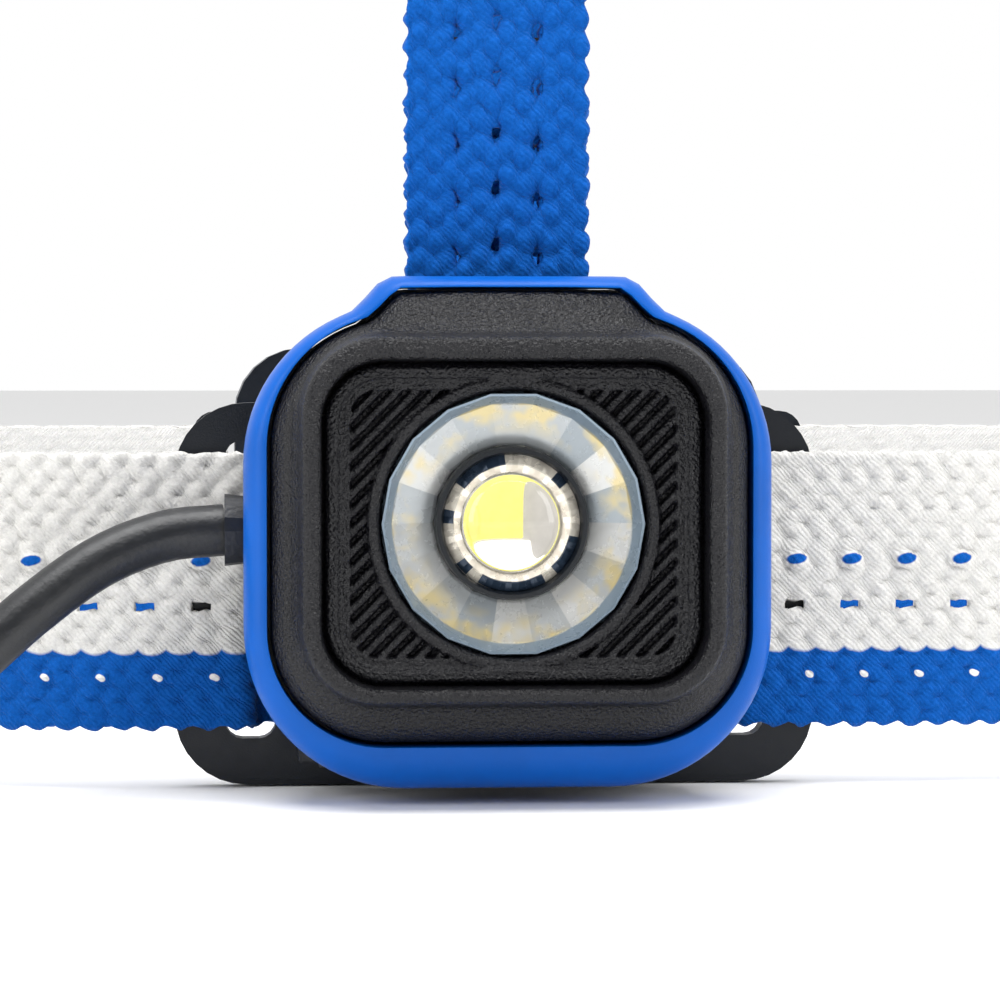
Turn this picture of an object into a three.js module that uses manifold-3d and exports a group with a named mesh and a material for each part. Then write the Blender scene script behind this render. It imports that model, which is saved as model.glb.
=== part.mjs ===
// A running headlamp: a tilting front lamp on a forehead bracket, an elastic head band with a crown strap,
// and a rechargeable battery pack with a tail light at the back of the head, joined to the lamp by a lead.
//
// Millimetres, +Z up. The lamp shines along -Y and the wearer's head fills the band. Parts are laid out from
// the front face of the forehead bracket (y = 0) and from the surface that the headlamp stands on (z = 0),
// and the whole group is then moved so that its origin is the middle of the bracket's flat lower edge.
import * as THREE from "three";
import { mergeVertices } from "three/addons/utils/BufferGeometryUtils.js";
import Module from "manifold-3d";

const wasm = await Module();
wasm.setup();

// ---------------------------------------------------------------- driving dimensions
const GAP = 0.35; // clearance between pieces that touch or slide on the real object
const PIVOT_CLEARANCE = 0.3; // round a pin in its bore

// Elastic webbing
const STRAP_THICK = 1.4;
const STRAP_WIDTH = 25;
const STRAP_BOTTOM = 5.2;
const TOP_STRAP_WIDTH = 16.5;

// Head band seen from above
const BAND_HALF_WIDTH = 84;
const FRONT_CORNER = 50;
const REAR_CORNER = 32;
const SIDE_STRAIGHT = 81;
const REAR_SHIFT = 12.5; // sideways from the lamp to the battery pack, as the slack band lies on a table

// Forehead bracket
const BRACKET_HALF_WIDTH = 29.1;
const BRACKET_HEIGHT = 34.6;
const BRACKET_THICK = 2.4;
const BRACKET_CORNER = 6.5;
const SLOT_INNER = 20; // the band's slot, from the middle of the bracket
const SLOT_WIDTH = 4.5;
const TAB_HALF_WIDTH = 11.8;
const TAB_RISE = 9.6; // above the bracket's top edge
const TAB_BAR = 3;
const TAB_SLOT = 3.8;
const PAD_THICK = 2.5;

// Lamp, seen from the front
const LAMP_HALF_WIDTH = 23;
const LAMP_BOTTOM = 1.2;
const LAMP_TOP = 43.4; // beside the hump
const LAMP_CORNER = 14;
const HUMP_RISE = 2.3;
const HUMP_CREST = LAMP_HALF_WIDTH - LAMP_CORNER + 1.3; // half width of the hump's flat top
const HUMP_FOOT = LAMP_HALF_WIDTH - LAMP_CORNER + 4.9; // half width where it meets the outline
const LENS_Z = 24.4;
const LENS_RADIUS = 11.35;

// Lamp, from back to front along -Y
const LAMP_BACK = 2.2; // gap between bracket and lamp
const HOUSING_WALL = 1.5;
const HOUSING_DEPTH = 10.8;
const BEZEL_START = 10.5;
const BEZEL_FRONT = 18.2;
const SLOPE_START = 17.6;
const RIDGE_FRONT = 24;
const PANEL_FRONT = 21.6;
const PANEL_THICK = 1.4;

// Tilt hinge
const PIVOT_Y = 4.6;
const PIVOT_Z = 5.6;
const PIN_RADIUS = 1.1;
const LUG_RADIUS = 3.6;
const LUG_INNER = 12.6;
const LUG_WIDTH = 3.6;

// Power button
const BUTTON_HALF_WIDTH = 7.6;
const BUTTON_DEPTH = 5.2;
const BUTTON_TRAVEL = 0.9;

// Battery pack
const PACK_HALF_WIDTH = 35;
const PACK_HEIGHT = 40.4;
const PACK_DEPTH = 24;
const PACK_CORNER = 9;
const PACK_WALL = 1.6;
const PLATE_THICK = 2.2;
const EAR_SLOT = 3.2;
const EAR_BAR = 2.4;
const CELL_WIDTH = 50;
const CELL_HEIGHT = 20;
const CELL_THICK = 8;

// Strap adjusters
const ADJUSTER_HALF_LENGTH = 9;
const ADJUSTER_BAR = 1.2;
const SEWN_LENGTH = 16; // from the middle bar to the end of the folded webbing
const ADJUSTER_Y = 84; // middle of the side adjusters at rest
const TOP_ADJUSTER_Z = 74; // middle of the crown adjuster at rest

// Crown strap's arch, seen from the side
const ARCH_FRONT_Z = 73;
const ARCH_REAR_Z = 92;
const ARCH_TOP_Z = 130;
const ARCH_TOP_Y = 75;

const LEAD_RADIUS = 2.3;

// ---------------------------------------------------------------- places worked out from the dimensions
const STRAP_TOP = STRAP_BOTTOM + STRAP_WIDTH;
const STRAP_MID = STRAP_BOTTOM + STRAP_WIDTH / 2;
const LAYER = STRAP_THICK + GAP; // from the middle of one layer of webbing to the next
const FRONT_LINE = -(GAP + STRAP_THICK / 2); // middle of the webbing in front of the bracket
const INNER_LINE = BRACKET_THICK + GAP + STRAP_THICK / 2; // and behind it
const SIDE_START = FRONT_LINE + FRONT_CORNER;
const SIDE_END = SIDE_START + SIDE_STRAIGHT;
const REAR_LINE = SIDE_END + REAR_CORNER; // the running layer at the battery pack
const PLATE_Y = REAR_LINE + STRAP_THICK / 2 + GAP; // head side of the pack's plate
const PLATE_BACK = PLATE_Y + PLATE_THICK;
const REAR_OUTER_LINE = PLATE_BACK + GAP + STRAP_THICK / 2;
const PACK_BACK = PLATE_BACK + PACK_DEPTH;
const EAR_HALF_WIDTH = PACK_HALF_WIDTH + EAR_SLOT + EAR_BAR;
const SLOT_MID = SLOT_INNER + SLOT_WIDTH / 2;
const EAR_SLOT_MID = PACK_HALF_WIDTH + EAR_SLOT / 2;
const TAB_TOP = BRACKET_HEIGHT + TAB_RISE;
const TAB_SLOT_TOP = TAB_TOP - TAB_BAR;
const TAB_SLOT_MID = TAB_SLOT_TOP - TAB_SLOT / 2;
const REAR_TAB_TOP = PACK_HEIGHT + 8.4;
const REAR_TAB_SLOT_TOP = REAR_TAB_TOP - TAB_BAR;
const REAR_TAB_SLOT_MID = REAR_TAB_SLOT_TOP - TAB_SLOT / 2;
const PANEL_BACK = PANEL_FRONT - PANEL_THICK;
const TAIL_LENS_PROUD = 1.4;

// The sides of the band lean towards the shifted pack: its sideways place at a distance from the forehead.
const LEAN_RATE = REAR_SHIFT / (REAR_LINE - FRONT_LINE);
const LEAN = Math.atan(LEAN_RATE);
const leanAt = (y) => LEAN_RATE * (y - FRONT_LINE);

const BAR_BEND = 1.3; // bend radius of webbing round a bar, at its middle
const OUTER_CORNER = REAR_CORNER + LAYER - 2; // the doubled layer lies a little loose round the rear corner

// ---------------------------------------------------------------- solids
// A closed three.js geometry as a solid that can be joined and cut.
function solid(geometry) {
  const bare = (geometry.index ? geometry.toNonIndexed() : geometry).clone();
  bare.deleteAttribute("normal");
  bare.deleteAttribute("uv");
  const merged = mergeVertices(bare, 1e-4);
  return new wasm.Manifold(
    new wasm.Mesh({
      numProp: 3,
      vertProperties: merged.attributes.position.array,
      triVerts: new Uint32Array(merged.index.array),
    }),
  );
}

function geometryOf(body) {
  const mesh = body.getMesh();
  const geometry = new THREE.BufferGeometry();
  geometry.setAttribute("position", new THREE.BufferAttribute(mesh.vertProperties, 3));
  geometry.setIndex(new THREE.BufferAttribute(mesh.triVerts, 1));
  geometry.computeVertexNormals();
  return geometry;
}

const union = (bodies) => bodies.reduce((all, body) => all.add(body));
const cutAll = (body, cutters) => cutters.reduce((left, cutter) => left.subtract(cutter), body);

function box(x, y, z) {
  const geometry = new THREE.BoxGeometry(x[1] - x[0], y[1] - y[0], z[1] - z[0]);
  geometry.translate((x[0] + x[1]) / 2, (y[0] + y[1]) / 2, (z[0] + z[1]) / 2);
  return solid(geometry);
}

function shapeOf(points) {
  return new THREE.Shape(points.map(([a, b]) => new THREE.Vector2(a, b)));
}

function extruded(points, depth) {
  return new THREE.ExtrudeGeometry(shapeOf(points), { depth, bevelEnabled: false, steps: 1 });
}

// An outline in X and Z, carried along Y.
function alongY(points, y) {
  const geometry = extruded(points, y[1] - y[0]);
  geometry.rotateX(Math.PI / 2);
  geometry.translate(0, y[1], 0);
  return solid(geometry);
}

// An outline in X and Y, carried up Z.
function alongZ(points, z) {
  const geometry = extruded(points, z[1] - z[0]);
  geometry.translate(0, 0, z[0]);
  return solid(geometry);
}

// An outline in Y and Z, carried along X, and moved sideways by an amount that may change with Y.
function alongX(points, x, sideways = () => 0) {
  const geometry = extruded(points, x[1] - x[0]);
  geometry.applyMatrix4(new THREE.Matrix4().set(0, 0, 1, x[0], 1, 0, 0, 0, 0, 1, 0, 0, 0, 0, 0, 1));
  const place = geometry.attributes.position;
  for (let i = 0; i < place.count; i++) place.setX(i, place.getX(i) + sideways(place.getY(i)));
  return solid(geometry);
}

const TURNS = { x: [0, 0, -Math.PI / 2], y: [0, 0, 0], z: [Math.PI / 2, 0, 0] };

function cylinder(axis, radius, length, centre, sides = 24, farRadius = radius) {
  const geometry = new THREE.CylinderGeometry(farRadius, radius, length, sides);
  const [turnX, turnY, turnZ] = TURNS[axis];
  geometry.applyMatrix4(new THREE.Matrix4().makeRotationFromEuler(new THREE.Euler(turnX, turnY, turnZ)));
  geometry.translate(...centre);
  return solid(geometry);
}

// A closed profile of [radius, distance in front of the bracket], turned about the lens axis.
function turned(profile, sides) {
  const points = profile.map(([r, front]) => new THREE.Vector2(r, -front));
  const geometry = new THREE.LatheGeometry(points, sides);
  geometry.translate(0, 0, LENS_Z);
  const made = solid(geometry);
  return made.volume() < 0 ? solid(flipped(geometry)) : made;
}

function flipped(geometry) {
  const copy = geometry.index ? geometry.toNonIndexed() : geometry.clone();
  const place = copy.attributes.position;
  for (let i = 0; i < place.count; i += 3) {
    const [x, y, z] = [place.getX(i), place.getY(i), place.getZ(i)];
    place.setXYZ(i, place.getX(i + 1), place.getY(i + 1), place.getZ(i + 1));
    place.setXYZ(i + 1, x, y, z);
  }
  return copy;
}

function roundedRectangle(left, right, low, high, radius, segments = 6) {
  const r = Math.min(radius, (right - left) / 2 - 0.01, (high - low) / 2 - 0.01);
  const corners = [
    [right - r, low + r, -90],
    [right - r, high - r, 0],
    [left + r, high - r, 90],
    [left + r, low + r, 180],
  ];
  return corners.flatMap(([x, y, start]) =>
    Array.from({ length: segments + 1 }, (_, i) => {
      const angle = THREE.MathUtils.degToRad(start + (90 * i) / segments);
      return [x + r * Math.cos(angle), y + r * Math.sin(angle)];
    }),
  );
}

// ---------------------------------------------------------------- webbing
// A flat path with its inner corners rounded: corner points carry their own bend radius.
function roundedPath(corners) {
  const path = [corners[0].slice(0, 2)];
  for (let i = 1; i < corners.length - 1; i++) {
    const here = new THREE.Vector2(...corners[i]);
    const before = new THREE.Vector2(...corners[i - 1]).sub(here);
    const after = new THREE.Vector2(...corners[i + 1]).sub(here);
    const radius = corners[i][2];
    const half = before.angleTo(after) / 2;
    const reach = radius / Math.tan(half);
    const start = here.clone().add(before.clone().setLength(reach));
    const end = here.clone().add(after.clone().setLength(reach));
    const middle = here.clone().add(before.normalize().add(after.normalize()).setLength(radius / Math.sin(half)));
    const from = Math.atan2(start.y - middle.y, start.x - middle.x);
    let sweep = Math.atan2(end.y - middle.y, end.x - middle.x) - from;
    sweep = Math.atan2(Math.sin(sweep), Math.cos(sweep));
    const steps = Math.max(2, Math.ceil((Math.abs(sweep) * (3 + Math.sqrt(radius))) / 1.6));
    for (let k = 0; k <= steps; k++) {
      const angle = from + (sweep * k) / steps;
      path.push([middle.x + radius * Math.cos(angle), middle.y + radius * Math.sin(angle)]);
    }
  }
  path.push(corners.at(-1).slice(0, 2));
  return path;
}

// The outline of webbing that follows a path.
function ribbon(path, thick = STRAP_THICK) {
  const normals = path.map((_, i) => {
    const a = new THREE.Vector2(...path[Math.max(i - 1, 0)]);
    const b = new THREE.Vector2(...path[i]);
    const c = new THREE.Vector2(...path[Math.min(i + 1, path.length - 1)]);
    const into = b.clone().sub(a).normalize();
    const out = c.clone().sub(b).normalize();
    const along = into.clone().add(out).normalize();
    const spread = Math.max(0.5, along.dot(i ? into : out));
    return [-along.y / spread, along.x / spread];
  });
  const side = (sign) =>
    path.map(([x, y], i) => [x + (sign * thick * normals[i][0]) / 2, y + (sign * thick * normals[i][1]) / 2]);
  return [...side(-1), ...side(1).reverse()];
}

// The frame of webbing along one side of the band: a point on it, the way to the pack and the way outwards.
function sideFrame(side, y) {
  return {
    origin: new THREE.Vector2(side * BAND_HALF_WIDTH + leanAt(y), y),
    along: new THREE.Vector2(Math.sin(LEAN), Math.cos(LEAN)),
    away: new THREE.Vector2(side * Math.cos(LEAN), -side * Math.sin(LEAN)),
  };
}

// Half of the head band from the middle of the forehead to the end of its second layer, seen from above.
function halfBand(side) {
  const rear = (x) => REAR_SHIFT + side * x;
  const { origin, along, away } = sideFrame(side, ADJUSTER_Y);
  const end = origin.clone().addScaledVector(along, SEWN_LENGTH + GAP).addScaledVector(away, LAYER);
  const outerSide = side * (BAND_HALF_WIDTH + LAYER / Math.cos(LEAN)) + leanAt(REAR_LINE + LAYER);
  return [
    [side * SLOT_MID, INNER_LINE, BAR_BEND],
    [side * SLOT_MID, FRONT_LINE, BAR_BEND],
    [side * BAND_HALF_WIDTH, FRONT_LINE, FRONT_CORNER],
    [rear(BAND_HALF_WIDTH), REAR_LINE, REAR_CORNER],
    [rear(EAR_SLOT_MID), REAR_LINE, BAR_BEND],
    [rear(EAR_SLOT_MID), REAR_OUTER_LINE, BAR_BEND],
    [rear(EAR_HALF_WIDTH + 1.5), REAR_OUTER_LINE, 4],
    [rear(EAR_HALF_WIDTH + 5), REAR_LINE + LAYER, 6],
    [outerSide, REAR_LINE + LAYER, OUTER_CORNER],
    [end.x, end.y],
  ];
}

function headStrap() {
  const corners = [...halfBand(-1).reverse(), ...halfBand(1)];
  return alongZ(ribbon(roundedPath(corners)), [STRAP_BOTTOM, STRAP_TOP]);
}

// Points on the crown strap's arch, as two quarter ellipses that meet at its top.
function arch(steps = 9) {
  const quarter = (fromY, fromZ, turn) =>
    Array.from({ length: steps }, (_, i) => {
      const angle = (turn * (i + 1) * Math.PI) / 2 / (steps + 1);
      return [
        ARCH_TOP_Y + (fromY - ARCH_TOP_Y) * Math.cos(angle * turn),
        fromZ + (ARCH_TOP_Z - fromZ) * Math.sin(angle * turn),
      ];
    });
  return [
    [FRONT_LINE, ARCH_FRONT_Z],
    ...quarter(FRONT_LINE, ARCH_FRONT_Z, 1),
    [ARCH_TOP_Y, ARCH_TOP_Z],
    ...quarter(REAR_LINE, ARCH_REAR_Z, 1).reverse(),
    [REAR_LINE, ARCH_REAR_Z],
  ];
}

const TOP_SEWN_END = TAB_TOP + 18; // upper end of the fold that is sewn behind the crown strap's front

function topStrapPath() {
  const fold = roundedPath([
    [FRONT_LINE + LAYER, TOP_SEWN_END],
    [FRONT_LINE + LAYER, TAB_TOP + 8, 4],
    [INNER_LINE, TAB_TOP + 3, 4],
    [INNER_LINE, TAB_SLOT_MID, BAR_BEND],
    [FRONT_LINE, TAB_SLOT_MID, BAR_BEND],
    [FRONT_LINE, ARCH_FRONT_Z - 6],
  ]);
  const tail = roundedPath([
    [REAR_LINE, ARCH_REAR_Z - 4],
    [REAR_LINE, REAR_TAB_SLOT_MID, BAR_BEND],
    [REAR_OUTER_LINE, REAR_TAB_SLOT_MID, BAR_BEND],
    [REAR_OUTER_LINE, REAR_TAB_TOP + 1, 3],
    [REAR_LINE + LAYER, REAR_TAB_TOP + 3.6, 3],
    [REAR_LINE + LAYER, TOP_ADJUSTER_Z - SEWN_LENGTH * 0.7 - GAP],
  ]);
  return [...fold, ...arch(), ...tail];
}

// The crown strap leans sideways as the band does, from over the lamp to over the pack.
function topStrap() {
  return alongX(ribbon(topStrapPath()), [-TOP_STRAP_WIDTH / 2, TOP_STRAP_WIDTH / 2], leanAt);
}

// ---------------------------------------------------------------- adjusters
// Each is drawn in its own frame: the webbing runs along +u towards the battery pack and v points away from the head.
const MID_BAR_V = STRAP_THICK / 2 + GAP + STRAP_THICK + GAP;
const OUTER_LEG_V = MID_BAR_V + ADJUSTER_BAR + GAP + STRAP_THICK / 2;
const OUTER_BAR_V = -(STRAP_THICK / 2 + GAP + ADJUSTER_BAR);
const BAR_HALF = 1.5;

function adjusterRails(halfLength) {
  return roundedRectangle(-halfLength, halfLength, OUTER_BAR_V, MID_BAR_V + ADJUSTER_BAR, 2, 4);
}

// The frame: two rails joined by a bar at each end on the head side and a middle bar on the outer side.
function adjusterFrame(halfLength, width, barWidth) {
  const half = width / 2 + GAP;
  const rail = 2.2;
  const ends = [-1, 1].map((end) => (end < 0 ? [-halfLength, barWidth - halfLength] : [halfLength - barWidth, halfLength]));
  const bars = ends.map((u) => box(u, [OUTER_BAR_V, OUTER_BAR_V + ADJUSTER_BAR], [-half - 0.5, half + 0.5]));
  const middle = box([-BAR_HALF, BAR_HALF], [MID_BAR_V, MID_BAR_V + ADJUSTER_BAR], [-half - 0.5, half + 0.5]);
  const rails = [
    alongZ(adjusterRails(halfLength), [-half - rail, -half]),
    alongZ(adjusterRails(halfLength), [half, half + rail]),
  ];
  return union([...rails, ...bars, middle]);
}

// The end of the webbing, folded round the middle bar and sewn down.
function sewnEnd(length, width) {
  const turn = -(BAR_HALF + GAP + STRAP_THICK / 2);
  const path = roundedPath([
    [length, LAYER],
    [turn, LAYER, 1.4],
    [turn, OUTER_LEG_V, 1.4],
    [BAR_HALF + 1, OUTER_LEG_V, 2.5],
    [BAR_HALF + 4.5, 2 * LAYER, 2.5],
    [length, 2 * LAYER],
  ]);
  return alongZ(ribbon(path), [-width / 2, width / 2]);
}

// ---------------------------------------------------------------- bracket
function bracketPlate() {
  const tab = roundedRectangle(-TAB_HALF_WIDTH, TAB_HALF_WIDTH, BRACKET_HEIGHT / 2, TAB_TOP, 2.5);
  const body = roundedRectangle(-BRACKET_HALF_WIDTH, BRACKET_HALF_WIDTH, 0, BRACKET_HEIGHT, BRACKET_CORNER, 8);
  const lug = (side) => {
    const x = side < 0 ? [-LUG_INNER - LUG_WIDTH, -LUG_INNER] : [LUG_INNER, LUG_INNER + LUG_WIDTH];
    const arm = box(x, [-PIVOT_Y, 0.5], [PIVOT_Z - LUG_RADIUS, PIVOT_Z + LUG_RADIUS]);
    return cylinder("x", LUG_RADIUS, LUG_WIDTH, [(x[0] + x[1]) / 2, -PIVOT_Y, PIVOT_Z]).add(arm);
  };
  const sideSlot = (side) => {
    const inner = side * SLOT_INNER;
    const outer = side * (SLOT_INNER + SLOT_WIDTH);
    const [low, high] = [Math.min(inner, outer), Math.max(inner, outer)];
    return alongY(roundedRectangle(low, high, STRAP_BOTTOM - 1, STRAP_TOP + 1, 1.5, 4), [-1, BRACKET_THICK + 1]);
  };
  const slotHalf = TOP_STRAP_WIDTH / 2 + 1;
  const topSlot = alongY(
    roundedRectangle(-slotHalf, slotHalf, TAB_SLOT_TOP - TAB_SLOT, TAB_SLOT_TOP, 1.2, 4),
    [-1, BRACKET_THICK + 1],
  );
  const plates = [body, tab].map((outline) => alongY(outline, [0, BRACKET_THICK]));
  return cutAll(union([...plates, lug(-1), lug(1)]), [sideSlot(-1), sideSlot(1), topSlot, pinBore()]);
}

function pinBore() {
  const length = 2 * (LUG_INNER + LUG_WIDTH) + 4;
  return cylinder("x", PIN_RADIUS + PIVOT_CLEARANCE, length, [0, -PIVOT_Y, PIVOT_Z]);
}

const hingePin = () =>
  cylinder("x", PIN_RADIUS, 2 * (LUG_INNER + LUG_WIDTH) + 0.8, [0, -PIVOT_Y, PIVOT_Z], 20);

// A soft channel behind the bracket that the band runs through.
function foreheadPad() {
  const y = [BRACKET_THICK + GAP, INNER_LINE + STRAP_THICK / 2 + GAP + PAD_THICK];
  const half = SLOT_INNER - 1;
  const block = alongY(roundedRectangle(-half, half, 0, BRACKET_HEIGHT - 0.4, 4), y);
  const channel = box([-half - 1, half + 1], [y[0] - 1, y[1] - PAD_THICK], [STRAP_BOTTOM - 0.5, STRAP_TOP + 0.5]);
  const breathing = [-2, -1, 0, 1, 2].map((i) =>
    alongY(roundedRectangle(i * 6.5 - 1.2, i * 6.5 + 1.2, 8, 27, 1.2, 3), [y[1] - 1, y[1] + 1]),
  );
  return cutAll(block, [channel, ...breathing]);
}

// ---------------------------------------------------------------- lamp
// A rounded rectangle in X and Z whose top edge carries the hump over the button.
function lampOutline({ half, low, high, cornerLow, cornerHigh, hump = HUMP_RISE, shift = 0 }, fine = 12) {
  const arc = (x, z, r, start, steps) =>
    Array.from({ length: steps + 1 }, (_, i) => {
      const angle = THREE.MathUtils.degToRad(start + (90 * i) / steps);
      return [x + r * Math.cos(angle), z + r * Math.sin(angle)];
    });
  const rise = ([x, z]) => {
    const share = THREE.MathUtils.smoothstep(-Math.abs(x), -(HUMP_FOOT - shift), -(HUMP_CREST - shift));
    return [x, z > (low + high) / 2 ? z + hump * share : z];
  };
  return [
    ...arc(half - cornerLow, low + cornerLow, cornerLow, -90, 8),
    ...arc(half - cornerHigh, high - cornerHigh, cornerHigh, 0, fine).map(rise),
    ...[0.7, -0.7].map((share) => rise([share * (half - cornerHigh), high])),
    ...arc(cornerHigh - half, high - cornerHigh, cornerHigh, 90, fine).map(rise),
    ...arc(cornerLow - half, low + cornerLow, cornerLow, 180, 8),
  ];
}

// A closed body through outlines of equal length, each at its distance in front of the bracket.
function loft(sections) {
  const count = sections[0].outline.length;
  const points = sections.flatMap(({ outline, front }) => outline.map(([x, z]) => [x, -front, z]));
  const faces = [];
  for (let s = 0; s + 1 < sections.length; s++)
    for (let i = 0; i < count; i++) {
      const next = (i + 1) % count;
      const [a, b, c, d] = [s * count + i, s * count + next, (s + 1) * count + next, (s + 1) * count + i];
      faces.push([a, b, c], [a, c, d]);
    }
  const cap = THREE.ShapeUtils.triangulateShape(sections[0].outline.map(([x, z]) => new THREE.Vector2(x, z)), []);
  const last = (sections.length - 1) * count;
  const lastOutline = sections.at(-1).outline.map(([x, z]) => new THREE.Vector2(x, z));
  const farCap = THREE.ShapeUtils.triangulateShape(lastOutline, []);
  faces.push(...cap.map(([a, b, c]) => [a, c, b]), ...farCap.map(([a, b, c]) => [last + a, last + b, last + c]));
  const geometry = new THREE.BufferGeometry();
  geometry.setAttribute("position", new THREE.Float32BufferAttribute(points.flat(), 3));
  geometry.setIndex(faces.flat());
  return solid(geometry);
}

const BEZEL = {
  half: LAMP_HALF_WIDTH,
  low: LAMP_BOTTOM,
  high: LAMP_TOP,
  cornerLow: LAMP_CORNER,
  cornerHigh: LAMP_CORNER,
};
const inset = (outline, by) => ({
  ...outline,
  half: outline.half - by,
  low: outline.low + by,
  high: outline.high - by,
  cornerLow: Math.max(outline.cornerLow - by, 1),
  cornerHigh: Math.max(outline.cornerHigh - by, 1),
  shift: (outline.shift ?? 0) + by * 0.6,
});
const HOUSING = inset(BEZEL, 1.4);
const COVER = { ...inset(BEZEL, 2.3), low: LAMP_BOTTOM + 4.2, high: LAMP_TOP - 1.3, cornerLow: 9.8, cornerHigh: 11.2 };
const RIDGE = { half: 18.1, low: 9.2, high: 40.4, cornerLow: 6.6, cornerHigh: 6.8, hump: 0 };
const WINDOW = { half: 16.5, low: 10.5, high: 38.4, cornerLow: 5.3, cornerHigh: 5.3, hump: 0 };

function bezel() {
  const at = (outline, front) => ({ outline: lampOutline(outline), front });
  const outer = loft([
    at(inset(BEZEL, 0.9), BEZEL_START),
    at(inset(BEZEL, 0.2), BEZEL_START + 1.2),
    at(BEZEL, BEZEL_START + 3),
    at(inset(BEZEL, 0.1), BEZEL_FRONT - 2),
    at(inset(BEZEL, 0.5), BEZEL_FRONT - 0.8),
    at(inset(BEZEL, 1.2), BEZEL_FRONT),
  ]);
  const rearPocket = loft([
    at(inset(HOUSING, -GAP), BEZEL_START - 1),
    at(inset(HOUSING, -GAP), LAMP_BACK + HOUSING_DEPTH + GAP),
  ]);
  const frontPocket = loft([at(inset(COVER, -GAP), BEZEL_START - 1), at(inset(COVER, -GAP), BEZEL_FRONT + 1)]);
  return cutAll(outer, [rearPocket, frontPocket]);
}

function frontCover() {
  const at = (outline, front) => ({ outline: lampOutline(outline), front });
  const back = LAMP_BACK + HOUSING_DEPTH + 2 * GAP;
  const flattened = { ...COVER, hump: HUMP_RISE * 0.6 };
  const outer = loft([
    at(COVER, back),
    at(COVER, SLOPE_START),
    at(inset(flattened, 1.2), SLOPE_START + 2.4),
    at(inset(RIDGE, -0.4), RIDGE_FRONT - 1.8),
    at(inset(RIDGE, 0.1), RIDGE_FRONT - 0.5),
    at(inset(RIDGE, 0.7), RIDGE_FRONT),
    at(inset(WINDOW, -0.4), RIDGE_FRONT),
    at(WINDOW, RIDGE_FRONT - 0.3),
  ]);
  const seat = loft([at(WINDOW, PANEL_BACK - GAP), at(WINDOW, RIDGE_FRONT + 1)]);
  const ledge = loft([at(inset(WINDOW, 1.4), back + 1), at(inset(WINDOW, 1.4), RIDGE_FRONT)]);
  const hollow = inset({ ...COVER, hump: 0 }, HOUSING_WALL);
  const cavity = loft([at(hollow, back - 1), at(hollow, SLOPE_START)]);
  return cutAll(outer, [seat, ledge, cavity]);
}

const PANEL_FRAME = inset(WINDOW, GAP);
const POCKET = inset(WINDOW, 2.5);
const RIM_RADIUS = LENS_RADIUS + 1.6;
const RIB_PITCH = 1.9;
const RIB_WIDTH = 0.8;

// Slanting ribs across the pockets on both sides of the lens.
function ribs(depth) {
  const reach = POCKET.half + (POCKET.high - POCKET.low) / 2;
  const count = Math.floor((reach * Math.SQRT2) / 2 / RIB_PITCH);
  return Array.from({ length: 2 * count + 1 }, (_, i) => {
    const bar = new THREE.BoxGeometry(2 * reach, depth, RIB_WIDTH);
    bar.translate(0, 0, (i - count) * RIB_PITCH);
    bar.rotateY(-Math.PI / 4);
    bar.translate(0, -(PANEL_FRONT - depth / 2 - 0.2), LENS_Z);
    return solid(bar);
  });
}

function lensPanel() {
  const at = (outline, front) => ({ outline: lampOutline(outline, 6), front });
  const plate = loft([
    at(PANEL_FRAME, PANEL_BACK),
    at(PANEL_FRAME, PANEL_FRONT - 0.2),
    at(inset(PANEL_FRAME, 0.4), PANEL_FRONT + 0.2),
    at(inset(PANEL_FRAME, 1.0), PANEL_FRONT + 0.2),
    at(inset(PANEL_FRAME, 1.3), PANEL_FRONT - 0.1),
  ]);
  const lensAxis = [0, -PANEL_FRONT, LENS_Z];
  const rim = cylinder("y", RIM_RADIUS, 4, lensAxis, 48);
  const pocketDepth = 0.8;
  const pocket = loft([at(POCKET, PANEL_FRONT - pocketDepth), at(POCKET, PANEL_FRONT + 2)]);
  const grooves = cutAll(pocket.subtract(rim), ribs(pocketDepth));
  return cutAll(plate, [grooves, cylinder("y", LENS_RADIUS + GAP, 8, lensAxis, 48)]);
}

const FACETS = 18;
const THROAT = 6.6;

// A faceted bowl round the collimator.
function reflector() {
  const flange = PANEL_BACK - GAP;
  return turned(
    [
      [THROAT + 0.4, 14.2],
      [THROAT + 0.4, 15.4],
      [LENS_RADIUS - 1, PANEL_FRONT - 1.6],
      [LENS_RADIUS - 0.15, PANEL_FRONT - 0.5],
      [LENS_RADIUS, PANEL_FRONT - 0.5],
      [LENS_RADIUS, flange],
      [LENS_RADIUS + 0.8, flange],
      [LENS_RADIUS + 0.8, flange - 0.9],
      [LENS_RADIUS - 0.5, flange - 1.2],
      [THROAT + 1.4, 14.2],
      [THROAT + 0.4, 14.2],
    ],
    FACETS,
  );
}

// The clear collimator over the emitter.
function collimator() {
  return turned(
    [
      [0, 14.4],
      [4.6, 14.4],
      [THROAT - 0.1, 18.2],
      [THROAT - 0.1, 19.4],
      [THROAT - 0.7, 19.8],
      [5.2, 19.4],
      [4.5, 18.6],
      [4.2, 18.6],
      [3.4, 19.6],
      [1.8, 20.3],
      [0, 20.5],
    ],
    24,
  );
}

const BOARD_FRONT = 13;
const ledEmitter = () => box([-1.9, 1.9], [-14, -BOARD_FRONT - GAP], [LENS_Z - 1.9, LENS_Z + 1.9]);
const ledBoard = () => cylinder("y", 9.6, 1.2, [0, -BOARD_FRONT + 0.6, LENS_Z], 32);

// An aluminium plate with upright fins behind the emitter's board.
function heatSink() {
  const back = BOARD_FRONT - 1.2 - GAP;
  const plate = box([-12, 12], [-back, -back + 1.4], [LENS_Z - 10, LENS_Z + 9.4]);
  const fins = [-2, -1, 0, 1, 2].map((i) =>
    box([i * 4.6 - 0.6, i * 4.6 + 0.6], [-back + 1, -back + 3], [LENS_Z - 9, LENS_Z + 8.6]),
  );
  return union([plate, ...fins]);
}

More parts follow.
